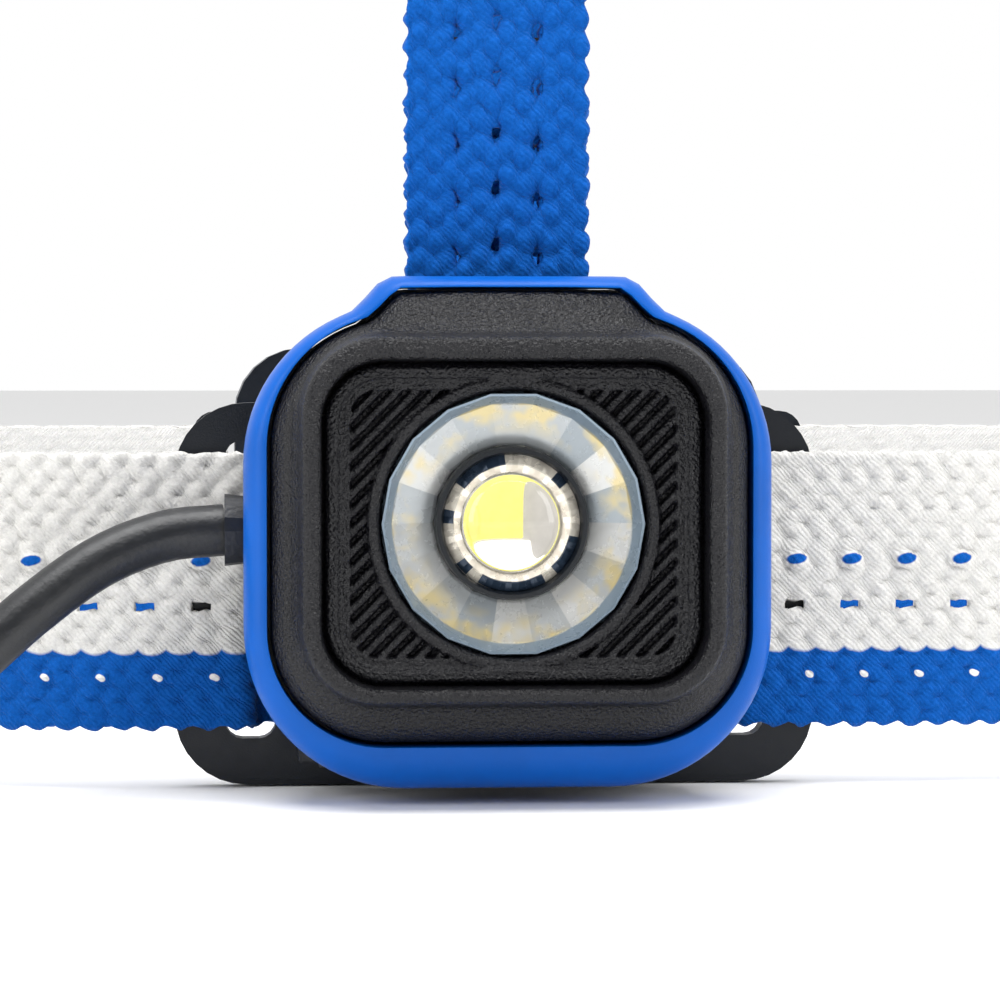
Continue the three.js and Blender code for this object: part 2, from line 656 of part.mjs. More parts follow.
function driverBoard() {
  const y = [-7.2, -6];
  const board = box([-13, 13], y, [LENS_Z - 9, LENS_Z + 9.2]);
  const parts = [
    box([-10, -4], [y[1] - 0.2, y[1] + 1.6], [LENS_Z - 5, LENS_Z + 1]),
    box([2, 7], [y[1] - 0.2, y[1] + 1.2], [LENS_Z - 3, LENS_Z + 2]),
    box([8.6, 11], [y[1] - 0.2, y[1] + 1], [LENS_Z + 3, LENS_Z + 7]),
  ];
  return union([board, ...parts]);
}

const BUTTON_LIP = 0.9; // the flange's width round the cap
const BUTTON_FLANGE = 0.7; // and its thickness
const BUTTON_REAR = LAMP_BACK + HOUSING_WALL + GAP + BUTTON_LIP;
const BUTTON_Y = [-(BUTTON_REAR + BUTTON_DEPTH), -BUTTON_REAR];
const HOUSING_TOP = HOUSING.high + HUMP_RISE;
const HOUSING_CEILING = HOUSING_TOP - HOUSING_WALL;

// A cup that holds the electronics, with the hinge knuckles along its lower rear edge.
function lampHousing() {
  const at = (outline, front) => ({ outline: lampOutline(outline), front });
  const front = LAMP_BACK + HOUSING_DEPTH;
  const shell = loft([
    at(inset(HOUSING, 1.6), LAMP_BACK),
    at(inset(HOUSING, 0.5), LAMP_BACK + 0.6),
    at(HOUSING, LAMP_BACK + 2),
    at(HOUSING, front),
  ]);
  const inside = inset(HOUSING, HOUSING_WALL);
  const cavity = loft([at(inside, LAMP_BACK + HOUSING_WALL), at(inside, front + 1)]);
  const knuckleTop = PIVOT_Z + LUG_RADIUS + GAP + 1.6;
  const knuckleFront = PIVOT_Y + LUG_RADIUS + GAP + 1.6;
  const knuckleHalf = LUG_INNER + LUG_WIDTH + GAP + 1.6;
  const knuckle = box([-knuckleHalf, knuckleHalf], [-knuckleFront, -LAMP_BACK - 1], [HOUSING.low + 0.5, knuckleTop]);
  const recess = (side) => {
    const x = [side * (LUG_INNER - GAP), side * (LUG_INNER + LUG_WIDTH + GAP)].sort((a, b) => a - b);
    return box(x, [-(PIVOT_Y + LUG_RADIUS + GAP), 0], [-5, PIVOT_Z + LUG_RADIUS + GAP]);
  };
  const heel = box([-30, 30], [-LAMP_BACK - 1.6, 0], [-5, HOUSING.low + 1.4]);
  const hole = [BUTTON_HALF_WIDTH + GAP, BUTTON_Y[0] - GAP, BUTTON_Y[1] + GAP];
  const buttonHole = box([-hole[0], hole[0]], [hole[1], hole[2]], [HOUSING_CEILING - 2, HOUSING_TOP + 2]);
  const glandHole = cylinder("x", GLAND_NECK + GAP, 8, [-HOUSING.half, -GLAND_Y, GLAND_Z], 20);
  return cutAll(shell.subtract(cavity).add(knuckle), [
    recess(-1), recess(1), pinBore(), heel, buttonHole, glandHole,
  ]);
}

function powerButton() {
  const low = HOUSING_CEILING - GAP - BUTTON_FLANGE;
  const top = HOUSING_TOP + 1.2;
  const half = BUTTON_HALF_WIDTH;
  const cap = alongZ(roundedRectangle(-half, half, ...BUTTON_Y, 2), [low, top]);
  const flangeY = [BUTTON_Y[0] - BUTTON_LIP, BUTTON_Y[1] + BUTTON_LIP];
  const flange = box([-half - BUTTON_LIP, half + BUTTON_LIP], flangeY, [low, low + BUTTON_FLANGE]);
  const gripY = [BUTTON_Y[0] + 1.4, BUTTON_Y[1] - 1.4];
  const grip = [-1, 0, 1].map((i) => box([i * 3.6 - 0.5, i * 3.6 + 0.5], gripY, [top - 0.1, top + 0.35]));
  return union([cap, flange, ...grip]);
}

// The button lands on this switch at the end of its travel.
function tactileSwitch() {
  const top = HOUSING_CEILING - GAP - BUTTON_FLANGE - BUTTON_TRAVEL - 0.1;
  const middle = (BUTTON_Y[0] + BUTTON_Y[1]) / 2;
  const body = box([-3, 3], [middle - 2.2, middle + 2.2], [LENS_Z + 9.2 + GAP, top - 0.6]);
  return body.add(cylinder("z", 1.4, 1, [0, middle, top - 0.5], 16));
}

const GLAND_Y = 7;
const GLAND_Z = 23.4;
const GLAND_NECK = 2.2;
const GLAND_END = LAMP_HALF_WIDTH + 1.6;

// The lead's gland: a neck through a wall on the left, a shoulder outside it and a flange inside.
function gland(wallOuter, wallThick, end, y, z) {
  const piece = (radius, from, to, sides, far = radius) =>
    cylinder("x", radius, to - from, [-(from + to) / 2, y, z], sides, far);
  const inside = wallOuter - wallThick - GAP;
  return union([
    piece(GLAND_NECK, inside - 1, end - 0.4, 20),
    piece(GLAND_NECK + 0.9, inside - 1.2, inside, 20),
    piece(3.2, wallOuter + GAP, end, 16, 2.9),
  ]);
}

const lampGland = () => gland(HOUSING.half, HOUSING_WALL, GLAND_END, -GLAND_Y, GLAND_Z);

// A countersunk screw along Y, with its head towards +Y when facing is 1.
function screw(x, y, z, length, facing) {
  const shank = cylinder("y", 0.9, length, [x, y - (facing * length) / 2, z], 12);
  const head = cylinder("y", 1.8, 0.9, [x, y - facing * 0.45, z], 16);
  const slot = box([x - 1.3, x + 1.3], [y - 0.35, y + 0.35], [z - 0.25, z + 0.25]);
  return shank.add(head).subtract(slot);
}

// ---------------------------------------------------------------- battery pack
const PACK_LOW = 0;
const PACK_MID = PACK_HEIGHT / 2;
const packOutline = (by) =>
  roundedRectangle(-PACK_HALF_WIDTH + by, PACK_HALF_WIDTH - by, PACK_LOW + by, PACK_HEIGHT - by, PACK_CORNER - by, 6);

// The plate that carries the band and crown strap and closes the pack on the head side.
function packPlate() {
  const y = [PLATE_Y, PLATE_BACK];
  const ears = roundedRectangle(-EAR_HALF_WIDTH, EAR_HALF_WIDTH, STRAP_BOTTOM - 1.8, STRAP_TOP + 1.8, 3, 5);
  const tab = roundedRectangle(-TAB_HALF_WIDTH, TAB_HALF_WIDTH, PACK_MID, REAR_TAB_TOP, 2.5);
  const earSlot = (side) => {
    const x = [side * PACK_HALF_WIDTH, side * (PACK_HALF_WIDTH + EAR_SLOT)].sort((a, b) => a - b);
    return alongY(roundedRectangle(...x, STRAP_BOTTOM - 0.5, STRAP_TOP + 0.5, 1.2, 4), [y[0] - 1, y[1] + 1]);
  };
  const slotHalf = TOP_STRAP_WIDTH / 2 + 1;
  const topSlot = alongY(
    roundedRectangle(-slotHalf, slotHalf, REAR_TAB_SLOT_TOP - TAB_SLOT, REAR_TAB_SLOT_TOP, 1.2, 4),
    [y[0] - 1, y[1] + 1],
  );
  const plates = [packOutline(0), ears, tab].map((outline) => alongY(outline, y));
  const holes = packCorners().map(([x, z]) => cylinder("y", 0.9 + GAP, 20, [x, PLATE_Y, z], 12));
  const sinks = packCorners().map(([x, z]) => cylinder("y", 1.8 + GAP, 2.8, [x, PLATE_Y, z], 16));
  return cutAll(union(plates), [earSlot(-1), earSlot(1), topSlot, ...holes, ...sinks]);
}

const packCorners = () => [-1, 1].flatMap((side) => [6, PACK_HEIGHT - 6].map((z) => [side * (PACK_HALF_WIDTH - 6), z]));

const PORT_X = PACK_HALF_WIDTH;
const PORT_Z = PACK_HEIGHT - 13.4;
const PORT_Y = PLATE_BACK + 10;
const TAIL_HALF = 10;
const PACK_BUTTON_X = 8;
const PACK_BUTTON_HALF = 5;
const PACK_BUTTON_Y = PLATE_BACK + PACK_DEPTH / 2 - 0.5;

// The outer shell, with openings for the tail light, the charging port, the lead and the mode button.
function packShell() {
  const start = PLATE_BACK + GAP;
  const outline = (by, y) => ({ outline: packOutline(by), front: -y });
  const shell = loft([
    outline(4.5, PACK_BACK),
    outline(1.4, PACK_BACK - 1.4),
    outline(0.3, PACK_BACK - 4),
    outline(0, PACK_BACK - 7),
    outline(0, start),
  ]);
  const inside = loft([
    outline(PACK_WALL + 3, PACK_BACK - PACK_WALL),
    outline(PACK_WALL + 0.4, PACK_BACK - 4),
    outline(PACK_WALL, PACK_BACK - 7),
    outline(PACK_WALL, start - 1),
  ]);
  const bossLength = PACK_DEPTH - 1;
  const bosses = packCorners().map(([x, z]) => cylinder("y", 2.6, bossLength, [x, start + bossLength / 2, z], 12));
  const pilots = packCorners().map(([x, z]) => cylinder("y", 0.9 + GAP, 18, [x, start, z], 12));
  const tailHole = alongY(
    roundedRectangle(-TAIL_HALF - GAP, TAIL_HALF + GAP, PACK_MID - 5 - GAP, PACK_MID + 5 + GAP, 4),
    [PACK_BACK - 4, PACK_BACK + 4],
  );
  const portHole = box([PORT_X - 4, PORT_X + 4], [PORT_Y - 4.7, PORT_Y + 4.7], [PORT_Z - 2, PORT_Z + 2]);
  const buttonHole = box(
    [PACK_BUTTON_X - PACK_BUTTON_HALF - GAP, PACK_BUTTON_X + PACK_BUTTON_HALF + GAP],
    [PACK_BUTTON_Y - 2.5 - GAP, PACK_BUTTON_Y + 2.5 + GAP],
    [PACK_HEIGHT - 4, PACK_HEIGHT + 2],
  );
  const glandHole = cylinder("x", GLAND_NECK + GAP, 8, [-PACK_HALF_WIDTH, PACK_GLAND_Y, PACK_GLAND_Z], 20);
  const walls = shell.subtract(inside).add(union(bosses).intersect(shell)).add(flapEars());
  return cutAll(walls, [...pilots, tailHole, portHole, buttonHole, glandHole]);
}

const PACK_GLAND_Y = PLATE_BACK + 12;
const PACK_GLAND_Z = 14;
const PACK_GLAND_END = PACK_HALF_WIDTH + 3;
const packGland = () => gland(PACK_HALF_WIDTH, PACK_WALL, PACK_GLAND_END, PACK_GLAND_Y, PACK_GLAND_Z);

const CELL_Y = [PLATE_BACK + GAP + 1.2, PLATE_BACK + GAP + 1.2 + CELL_THICK];
const CELL_Z = [PACK_WALL + 1.6, PACK_WALL + 1.6 + CELL_HEIGHT];

// A flat pouch cell with rounded long edges.
function batteryCell() {
  const corner = CELL_THICK / 2.4;
  return alongX(roundedRectangle(...CELL_Y, ...CELL_Z, corner, 5), [-CELL_WIDTH / 2, CELL_WIDTH / 2]);
}

const CHARGE_BOARD_Z = [CELL_Z[1] + 1.2, CELL_Z[1] + 2.4];

function chargeBoard() {
  const [low, high] = CHARGE_BOARD_Z;
  const board = box([-16, PORT_X - 11], [PLATE_BACK + 4, PACK_BACK - 6], [low, high]);
  const chips = [
    box([-14, -8], [PORT_Y - 3, PORT_Y + 3], [high - 0.2, high + 1.6]),
    box([-4, 2], [PORT_Y, PORT_Y + 5], [high - 0.2, high + 1.3]),
  ];
  return union([board, ...chips]);
}

// The charging socket, open towards +X.
function chargeSocket() {
  const x = [PORT_X - 9, PORT_X - 1.4];
  const outer = box(x, [PORT_Y - 4.3, PORT_Y + 4.3], [PORT_Z - 1.6, PORT_Z + 1.6]);
  const mouth = box([x[0] + 1, x[1] + 1], [PORT_Y - 3.9, PORT_Y + 3.9], [PORT_Z - 1.2, PORT_Z + 1.2]);
  const tongue = box([x[0], x[1] - 1], [PORT_Y - 3, PORT_Y + 3], [PORT_Z - 0.35, PORT_Z + 0.35]);
  return outer.subtract(mouth).add(tongue);
}

function tailLens() {
  const back = PACK_BACK - PACK_WALL - GAP;
  const face = (by, y) => ({
    outline: roundedRectangle(by - TAIL_HALF, TAIL_HALF - by, PACK_MID - 5 + by, PACK_MID + 5 - by, 4 - by),
    front: -y,
  });
  const dome = loft([
    face(1.6, PACK_BACK + TAIL_LENS_PROUD),
    face(0.5, PACK_BACK + 1),
    face(0, PACK_BACK + 0.4),
    face(0, back),
  ]);
  const flange = roundedRectangle(-TAIL_HALF - 1.4, TAIL_HALF + 1.4, PACK_MID - 6.4, PACK_MID + 6.4, 4);
  return dome.add(alongY(flange, [back - 1, back]));
}

const tailLeds = () => {
  const y = PACK_BACK - PACK_WALL - 2 * GAP - 1;
  const board = box([-8, 8], [y - 0.9, y - 0.3], [PACK_MID - 4, PACK_MID + 4]);
  const chips = [-4, 4].map((x) => box([x - 1.2, x + 1.2], [y - 0.4, y], [PACK_MID - 1.2, PACK_MID + 1.2]));
  return union([board, ...chips]);
};

function packButton() {
  const top = PACK_HEIGHT + 0.8;
  const low = PACK_HEIGHT - PACK_WALL - GAP - 0.7;
  const x = [PACK_BUTTON_X - PACK_BUTTON_HALF, PACK_BUTTON_X + PACK_BUTTON_HALF];
  const y = [PACK_BUTTON_Y - 2.5, PACK_BUTTON_Y + 2.5];
  const cap = alongZ(roundedRectangle(...x, ...y, 2.4), [low, top]);
  const flange = box([x[0] - 0.9, x[1] + 0.9], [y[0] - 0.9, y[1] + 0.9], [low, low + 0.7]);
  return cap.add(flange);
}

function packSwitch() {
  const top = PACK_HEIGHT - PACK_WALL - GAP - 0.7 - 0.8 - 0.1;
  const low = CHARGE_BOARD_Z[1] + GAP;
  return box([PACK_BUTTON_X - 2.5, PACK_BUTTON_X + 2.5], [PACK_BUTTON_Y - 2, PACK_BUTTON_Y + 2], [low, top]);
}

const FLAP_HINGE_Y = PORT_Y + 6.4;

// The rubber flap over the charging socket, with its hinge barrel and a plug that fills the opening.
function portFlap() {
  const x = [PORT_X + GAP, PORT_X + GAP + 1.2];
  const leaf = box(x, [PORT_Y - 5.6, FLAP_HINGE_Y], [PORT_Z - 2.9, PORT_Z + 2.9]);
  const barrel = cylinder("z", 1, 5.8, [PORT_X + GAP + 1, FLAP_HINGE_Y, PORT_Z], 16);
  const lift = box([x[0], x[1] + 0.5], [PORT_Y - 6.6, PORT_Y - 5.4], [PORT_Z - 1.6, PORT_Z + 1.6]);
  return union([leaf, barrel, lift]);
}

// Two ears on the shell that hold the flap's barrel.
function flapEars() {
  const ears = [-1, 1].map((side) => {
    const z = PORT_Z + side * (2.9 + GAP + 0.7);
    return cylinder("z", 1.3, 1.4, [PORT_X + GAP + 0.6, FLAP_HINGE_Y, z], 16).add(
      box([PORT_X - 0.8, PORT_X + GAP + 0.6], [FLAP_HINGE_Y - 1.3, FLAP_HINGE_Y + 1.3], [z - 0.7, z + 0.7]),
    );
  });
  return union(ears);
}

// A foam pad on the head side of the pack.
function rearPad() {
  const y = [REAR_LINE - STRAP_THICK / 2 - GAP - PAD_THICK, REAR_LINE - STRAP_THICK / 2 - GAP];
  return alongY(roundedRectangle(-21, 21, 3, PACK_HEIGHT - 3, 6), y);
}

// ---------------------------------------------------------------- lead
const CLIP_WALL = 1.2;
const CLIP_OFFSET = STRAP_THICK / 2 + GAP + CLIP_WALL + GAP + LEAD_RADIUS;
const CLIP_HALF = 5; // half its length along the webbing
const FRONT_CLIP_TURN = 22; // degrees round the front corner, from the side of the band
const REAR_CLIP_TURN = 38; // and round the rear corner

// A clip round the webbing with a hook for the lead on its outer face. The frame has u along the webbing
// and v away from the head, and the layers of webbing lie between two distances along v.
function leadClip(inner, outer, corner, turn, middle) {
  const sag = (CLIP_HALF * CLIP_HALF) / (2 * REAR_CORNER);
  const v = [inner - GAP - sag, outer + GAP];
  const half = STRAP_WIDTH / 2 + GAP;
  const wall = CLIP_WALL;
  const body = box([-CLIP_HALF, CLIP_HALF], [v[0] - wall, v[1] + wall], [-half - wall, half + wall]);
  const channel = box([-CLIP_HALF - 1, CLIP_HALF + 1], v, [-half, half]);
  const axis = outer + CLIP_OFFSET - STRAP_THICK / 2;
  const [bore, shell] = [LEAD_RADIUS + GAP, LEAD_RADIUS + GAP + wall];
  const hook = cylinder("x", shell, 2 * CLIP_HALF - 2, [0, axis, CLIP_LEAD_Z - STRAP_MID], 24);
  const foot = box([1 - CLIP_HALF, CLIP_HALF - 1], [v[1] + 0.2, axis], [-2.4, 2.4]);
  const mouth = box([-CLIP_HALF - 1, CLIP_HALF + 1], [axis, axis + 9], [-1.7, 1.7]);
  const hole = cylinder("x", bore, 2 * CLIP_HALF + 2, [0, axis, CLIP_LEAD_Z - STRAP_MID], 24);
  const made = cutAll(union([body, hook, foot]), [channel, mouth, hole]);
  return placed(made, [-corner, 0, 0], turn, middle);
}

const CLIP_LEAD_Z = STRAP_MID;

// A solid drawn with u along the webbing and v away from the head, carried round a corner of the band on the
// left side: shift is its place along v, and the turn is measured from the side of the band.
function placed(made, [v], turn, [x, y]) {
  const angle = THREE.MathUtils.degToRad(turn);
  const away = new THREE.Vector3(-Math.cos(angle), Math.sin(angle), 0);
  const up = new THREE.Vector3(0, 0, 1);
  const along = new THREE.Vector3().crossVectors(away, up);
  const frame = new THREE.Matrix4().makeBasis(along, away, up);
  frame.setPosition(x - away.x * v, y - away.y * v, STRAP_MID);
  return made.transform(frame.elements);
}

// The route of the lead, as points chosen by hand: out of the lamp, down in a slack loop, up through the
// front clip, down again beside the adjuster, through the rear clip and into the battery pack.
const LEAD_ROUTE = [
  [-25.2, -7, 23.4],
  [-29.8, -7.6, 22.9],
  [-35.4, -9.2, 20.8],
  [-41.4, -11.2, 16.6],
  [-47.4, -12.4, 11.4],
  [-54, -11.8, 6.8],
  [-60.8, -8.8, 4.8],
  [-66.8, -3, 5.4],
  [-71.6, 5, 8.8],
  [-75.4, 14.8, 13.6],
  [-79.1, 23.2, 17.5],
  [-80.9, 28.4, 17.7],
  [-83, 33.5, 17.5],
  [-86.6, 48, 13.6],
  [-90.1, 65, 8.8],
  [-91.9, 82, 6.8],
  [-91.6, 98, 6.8],
  [-89.6, 113, 9],
  [-86.2, 127, 12.8],
  [-81, 140.6, 16.6],
  [-76.4, 149.9, 17.6],
  [-73, 154.3, 17.7],
  [-69.6, 158.6, 17.6],
  [-64, 164.8, 17.2],
  [-55.5, 171, 16.2],
  [-45.5, 175.6, 15],
  [-35.5, 177.2, 14.2],
  [-25.9, 177.2, 14],
];

function lead() {
  const route = new THREE.CatmullRomCurve3(LEAD_ROUTE.map((p) => new THREE.Vector3(...p)), false, "centripetal");
  const sides = 8;
  const section = Array.from({ length: sides }, (_, i) => {
    const angle = (2 * Math.PI * i) / sides;
    return [LEAD_RADIUS * Math.cos(angle), LEAD_RADIUS * Math.sin(angle)];
  });
  return solid(new THREE.ExtrudeGeometry(shapeOf(section), { steps: 56, extrudePath: route, bevelEnabled: false }));
}

// ---------------------------------------------------------------- materials
const material = (color, roughness, metalness = 0) => new THREE.MeshStandardMaterial({ color, roughness, metalness });
const BLUE_PLASTIC = material(0x0069d7, 0.4);
const BLACK_PLASTIC = material(0x26262c, 0.55);
const DARK_PLASTIC = material(0x191b20, 0.6);
const GREY_PLASTIC = material(0x484c52, 0.6);
const RUBBER = material(0x2a2a2d, 0.85);
const BLUE_KNIT = material(0x0a5fd0, 0.95);
const WHITE_KNIT = material(0xeae9e5, 0.95);
const FOAM = material(0x33353a, 0.95);
const CLEAR_OPTIC = material(0xe6ebf0, 0.08);
const MIRROR_OPTIC = material(0xcacaca, 0.18, 0.6);
const EMITTER = material(0xfefdba, 0.4);
const BOARD = material(0x0f3d2a, 0.6);
const WHITE_BOARD = material(0xf2f2ee, 0.5);
const ALUMINIUM = material(0xb9bcc0, 0.35, 0.9);
const STEEL = material(0x9da1a6, 0.3, 1);
const RED_OPTIC = material(0xb3161c, 0.15);

// ---------------------------------------------------------------- the headlamp
const headlamp = new THREE.Group();
headlamp.position.y = -BRACKET_THICK / 2;

function add(name, made, look, parent = headlamp) {
  const mesh = new THREE.Mesh(geometryOf(made), look);
  mesh.name = name;
  parent.add(mesh);
  return mesh;
}

add("bracket", bracketPlate(), DARK_PLASTIC);
add("tilt_pin", hingePin(), STEEL);
add("forehead_pad", foreheadPad(), FOAM);
add("head_strap", headStrap(), WHITE_KNIT);
add("crown_strap", topStrap(), BLUE_KNIT);

add("lamp_housing", lampHousing(), BLACK_PLASTIC);
add("bezel_ring", bezel(), BLUE_PLASTIC);
add("front_cover", frontCover(), BLACK_PLASTIC);
add("lens_panel", lensPanel(), BLACK_PLASTIC);
add("reflector", reflector(), MIRROR_OPTIC);
add("collimator", collimator(), CLEAR_OPTIC);
add("led_emitter", ledEmitter(), EMITTER);
add("led_board", ledBoard(), WHITE_BOARD);
add("heat_sink", heatSink(), ALUMINIUM);
add("driver_board", driverBoard(), BOARD);
add("lamp_switch", tactileSwitch(), DARK_PLASTIC);
add("lamp_gland", lampGland(), RUBBER);
add("power_button", powerButton(), DARK_PLASTIC);

// The side adjusters and the crown adjuster, each with the sewn end of the webbing that it carries.
function sideMatrix(side) {
  const { origin, along, away } = sideFrame(side, ADJUSTER_Y);
  return new THREE.Matrix4()
    .makeBasis(
      new THREE.Vector3(along.x, along.y, 0),
      new THREE.Vector3(away.x, away.y, 0),
      new THREE.Vector3(0, 0, -side),
    )
    .setPosition(origin.x, origin.y, STRAP_MID);
}

const CROWN_FRAME = new THREE.Matrix4().set(0, 0, 1, 0, 0, 1, 0, REAR_LINE, -1, 0, 0, TOP_ADJUSTER_Z, 0, 0, 0, 1);

for (const [side, sign] of [["left", -1], ["right", 1]]) {
  const frame = sideMatrix(sign);
  const slider = adjusterFrame(ADJUSTER_HALF_LENGTH, STRAP_WIDTH, 3);
  add(`${side}_adjuster`, slider.transform(frame.elements), DARK_PLASTIC);
  add(`${side}_sewn_end`, sewnEnd(SEWN_LENGTH, STRAP_WIDTH).transform(frame.elements), WHITE_KNIT);
}
const crownSlider = adjusterFrame(ADJUSTER_HALF_LENGTH * 0.8, TOP_STRAP_WIDTH, 2.4);
const rear = new THREE.Group();
rear.position.x = REAR_SHIFT;
headlamp.add(rear);
add("crown_adjuster", crownSlider.transform(CROWN_FRAME.elements), DARK_PLASTIC, rear);
const crownEnd = sewnEnd(SEWN_LENGTH * 0.7, TOP_STRAP_WIDTH);
add("crown_sewn_end", crownEnd.transform(CROWN_FRAME.elements), BLUE_KNIT, rear);

const half = STRAP_THICK / 2;
const DOUBLED = 2.6 + half; // outer face of the loose second layer, where the rear clip holds it
const cornerMiddle = (y, radius) => [leanAt(y) + radius / Math.cos(LEAN) - BAND_HALF_WIDTH, y];
const frontCorner = cornerMiddle(SIDE_START, FRONT_CORNER);
const rearCorner = cornerMiddle(SIDE_END, REAR_CORNER);
add("front_lead_clip", leadClip(-half, half, FRONT_CORNER, -FRONT_CLIP_TURN, frontCorner), DARK_PLASTIC);
add("rear_lead_clip", leadClip(-half, DOUBLED, REAR_CORNER, REAR_CLIP_TURN, rearCorner), DARK_PLASTIC);
add("lead", lead(), RUBBER);

add("pack_plate", packPlate(), DARK_PLASTIC, rear);
add("pack_shell", packShell(), GREY_PLASTIC, rear);
add("rear_pad", rearPad(), FOAM, rear);
add("battery_cell", batteryCell(), BLUE_PLASTIC, rear);
add("charge_board", chargeBoard(), BOARD, rear);
add("charge_socket", chargeSocket(), STEEL, rear);
add("tail_lens", tailLens(), RED_OPTIC, rear);
add("tail_leds", tailLeds(), WHITE_BOARD, rear);
add("pack_switch", packSwitch(), DARK_PLASTIC, rear);
add("pack_gland", packGland(), RUBBER, rear);
add("pack_button", packButton(), RUBBER, rear);
add("port_flap", portFlap(), RUBBER, rear);
packCorners().forEach(([x, z], i) => add(`pack_screw_${i + 1}`, screw(x, PLATE_Y + 0.5, z, 8, -1), STEEL, rear));

export default headlamp;
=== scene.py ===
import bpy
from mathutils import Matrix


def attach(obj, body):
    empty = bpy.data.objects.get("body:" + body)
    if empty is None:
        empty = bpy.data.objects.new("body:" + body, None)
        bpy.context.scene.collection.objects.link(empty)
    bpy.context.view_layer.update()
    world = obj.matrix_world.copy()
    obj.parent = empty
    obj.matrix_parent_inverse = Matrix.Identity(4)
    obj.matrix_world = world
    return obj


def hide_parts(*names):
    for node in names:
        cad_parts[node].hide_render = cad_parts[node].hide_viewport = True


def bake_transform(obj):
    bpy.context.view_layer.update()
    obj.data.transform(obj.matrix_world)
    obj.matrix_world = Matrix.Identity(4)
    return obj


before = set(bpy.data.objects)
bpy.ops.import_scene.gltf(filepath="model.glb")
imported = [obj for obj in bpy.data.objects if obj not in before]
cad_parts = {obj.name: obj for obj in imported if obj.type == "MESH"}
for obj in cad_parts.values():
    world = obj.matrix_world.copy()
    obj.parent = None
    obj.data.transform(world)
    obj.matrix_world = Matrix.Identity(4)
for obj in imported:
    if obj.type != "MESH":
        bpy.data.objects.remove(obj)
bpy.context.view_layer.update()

from math import atan, cos, pi, radians, sin, tan

import bmesh
import bpy
import numpy as np
from mathutils import Vector

MM = 0.001
scene = bpy.context.scene

# Sizes in millimetres, in the frame's own layout: y = 0 is the front face of the bracket, which the record's
# origin lies behind by half the bracket's thickness.
SHIFT = np.array([0.0, -1.2, 0.0])
STRAP_THICK = 1.4
STRAP_LOW, STRAP_HIGH = 5.2, 30.2
CROWN_HALF = 8.25
FRONT_LINE = -1.05
LENS_Z = 24.4
LEAD_RADIUS = 2.3

# ---------------------------------------------------------------- camera
camera_data = bpy.data.cameras.new("camera")
camera_data.lens = 139.6
camera_data.clip_start = 0.02
camera = bpy.data.objects.new("camera", camera_data)
scene.collection.objects.link(camera)
camera.location = (-0.026, -0.3523, 0.0378)
camera.rotation_euler = (radians(90 - 1.96), 0, radians(-4.3))
scene.camera = camera


# ---------------------------------------------------------------- meshes
def mesh_object(name, points, faces, smooth=True, cut=35):
    """A mesh of points in layout millimetres."""
    mesh = bpy.data.meshes.new(name)
    mesh.from_pydata((np.asarray(points) + SHIFT) * MM, [], faces)
    mesh.validate()
    fixed = bmesh.new()
    fixed.from_mesh(mesh)
    bmesh.ops.recalc_face_normals(fixed, faces=fixed.faces)
    fixed.to_mesh(mesh)
    fixed.free()
    made = bpy.data.objects.new(name, mesh)
    scene.collection.objects.link(made)
    if smooth:
        mesh.polygons.foreach_set("use_smooth", [True] * len(mesh.polygons))
        mesh.set_sharp_from_angle(angle=radians(cut))
    return made


def grid_faces(rows, columns, wrap_rows=False, wrap_columns=False, start=0):
    r = np.arange(rows if wrap_rows else rows - 1)
    c = np.arange(columns if wrap_columns else columns - 1)
    a, b = np.meshgrid(r, c, indexing="ij")
    a2, b2 = (a + 1) % rows, (b + 1) % columns
    quads = np.stack([a * columns + b, a * columns + b2, a2 * columns + b2, a2 * columns + b], -1)
    return (quads.reshape(-1, 4) + start).tolist()


def swept(name, rings, closed=True, cut=40):
    """Rings of equal length joined in turn: a ring-shaped body, or one with its two ends filled."""
    rings = np.asarray(rings)
    rows, columns = rings.shape[:2]
    faces = grid_faces(rows, columns, wrap_rows=closed, wrap_columns=True)
    if not closed:
        faces += [list(range(columns)), list(range((rows - 1) * columns, rows * columns))]
    return mesh_object(name, rings.reshape(-1, 3), faces, cut=cut)


def catmull(points, step):
    """Points every step along a smooth curve through the given ones (centripetal, as in the frame)."""
    p = np.asarray(points, float)
    p = np.vstack([2 * p[0] - p[1], p, 2 * p[-1] - p[-2]])
    out = []
    for i in range(1, len(p) - 2):
        knots = [0.0]
        for k in range(3):
            knots.append(knots[-1] + max(np.linalg.norm(p[i + k] - p[i + k - 1]), 1e-6) ** 0.5)
        t = np.linspace(knots[1], knots[2], 24, endpoint=False)[:, None]
        a = [((knots[k + 1] - t) * p[i + k - 1] + (t - knots[k]) * p[i + k]) / (knots[k + 1] - knots[k]) for k in range(3)]
        b = [((knots[k + 2] - t) * a[k] + (t - knots[k]) * a[k + 1]) / (knots[k + 2] - knots[k]) for k in range(2)]
        out.append(((knots[2] - t) * b[0] + (t - knots[1]) * b[1]) / (knots[2] - knots[1]))
    curve = np.vstack(out + [p[-2][None]])
    return resample(curve, step)


def lengths(curve):
    return np.concatenate([[0], np.cumsum(np.linalg.norm(np.diff(curve, axis=0), axis=1))])


def resample(curve, step):
    along = lengths(curve)
    at = np.linspace(0, along[-1], max(2, int(round(along[-1] / step)) + 1))
    return np.stack([np.interp(at, along, curve[:, k]) for k in range(curve.shape[1])], 1)


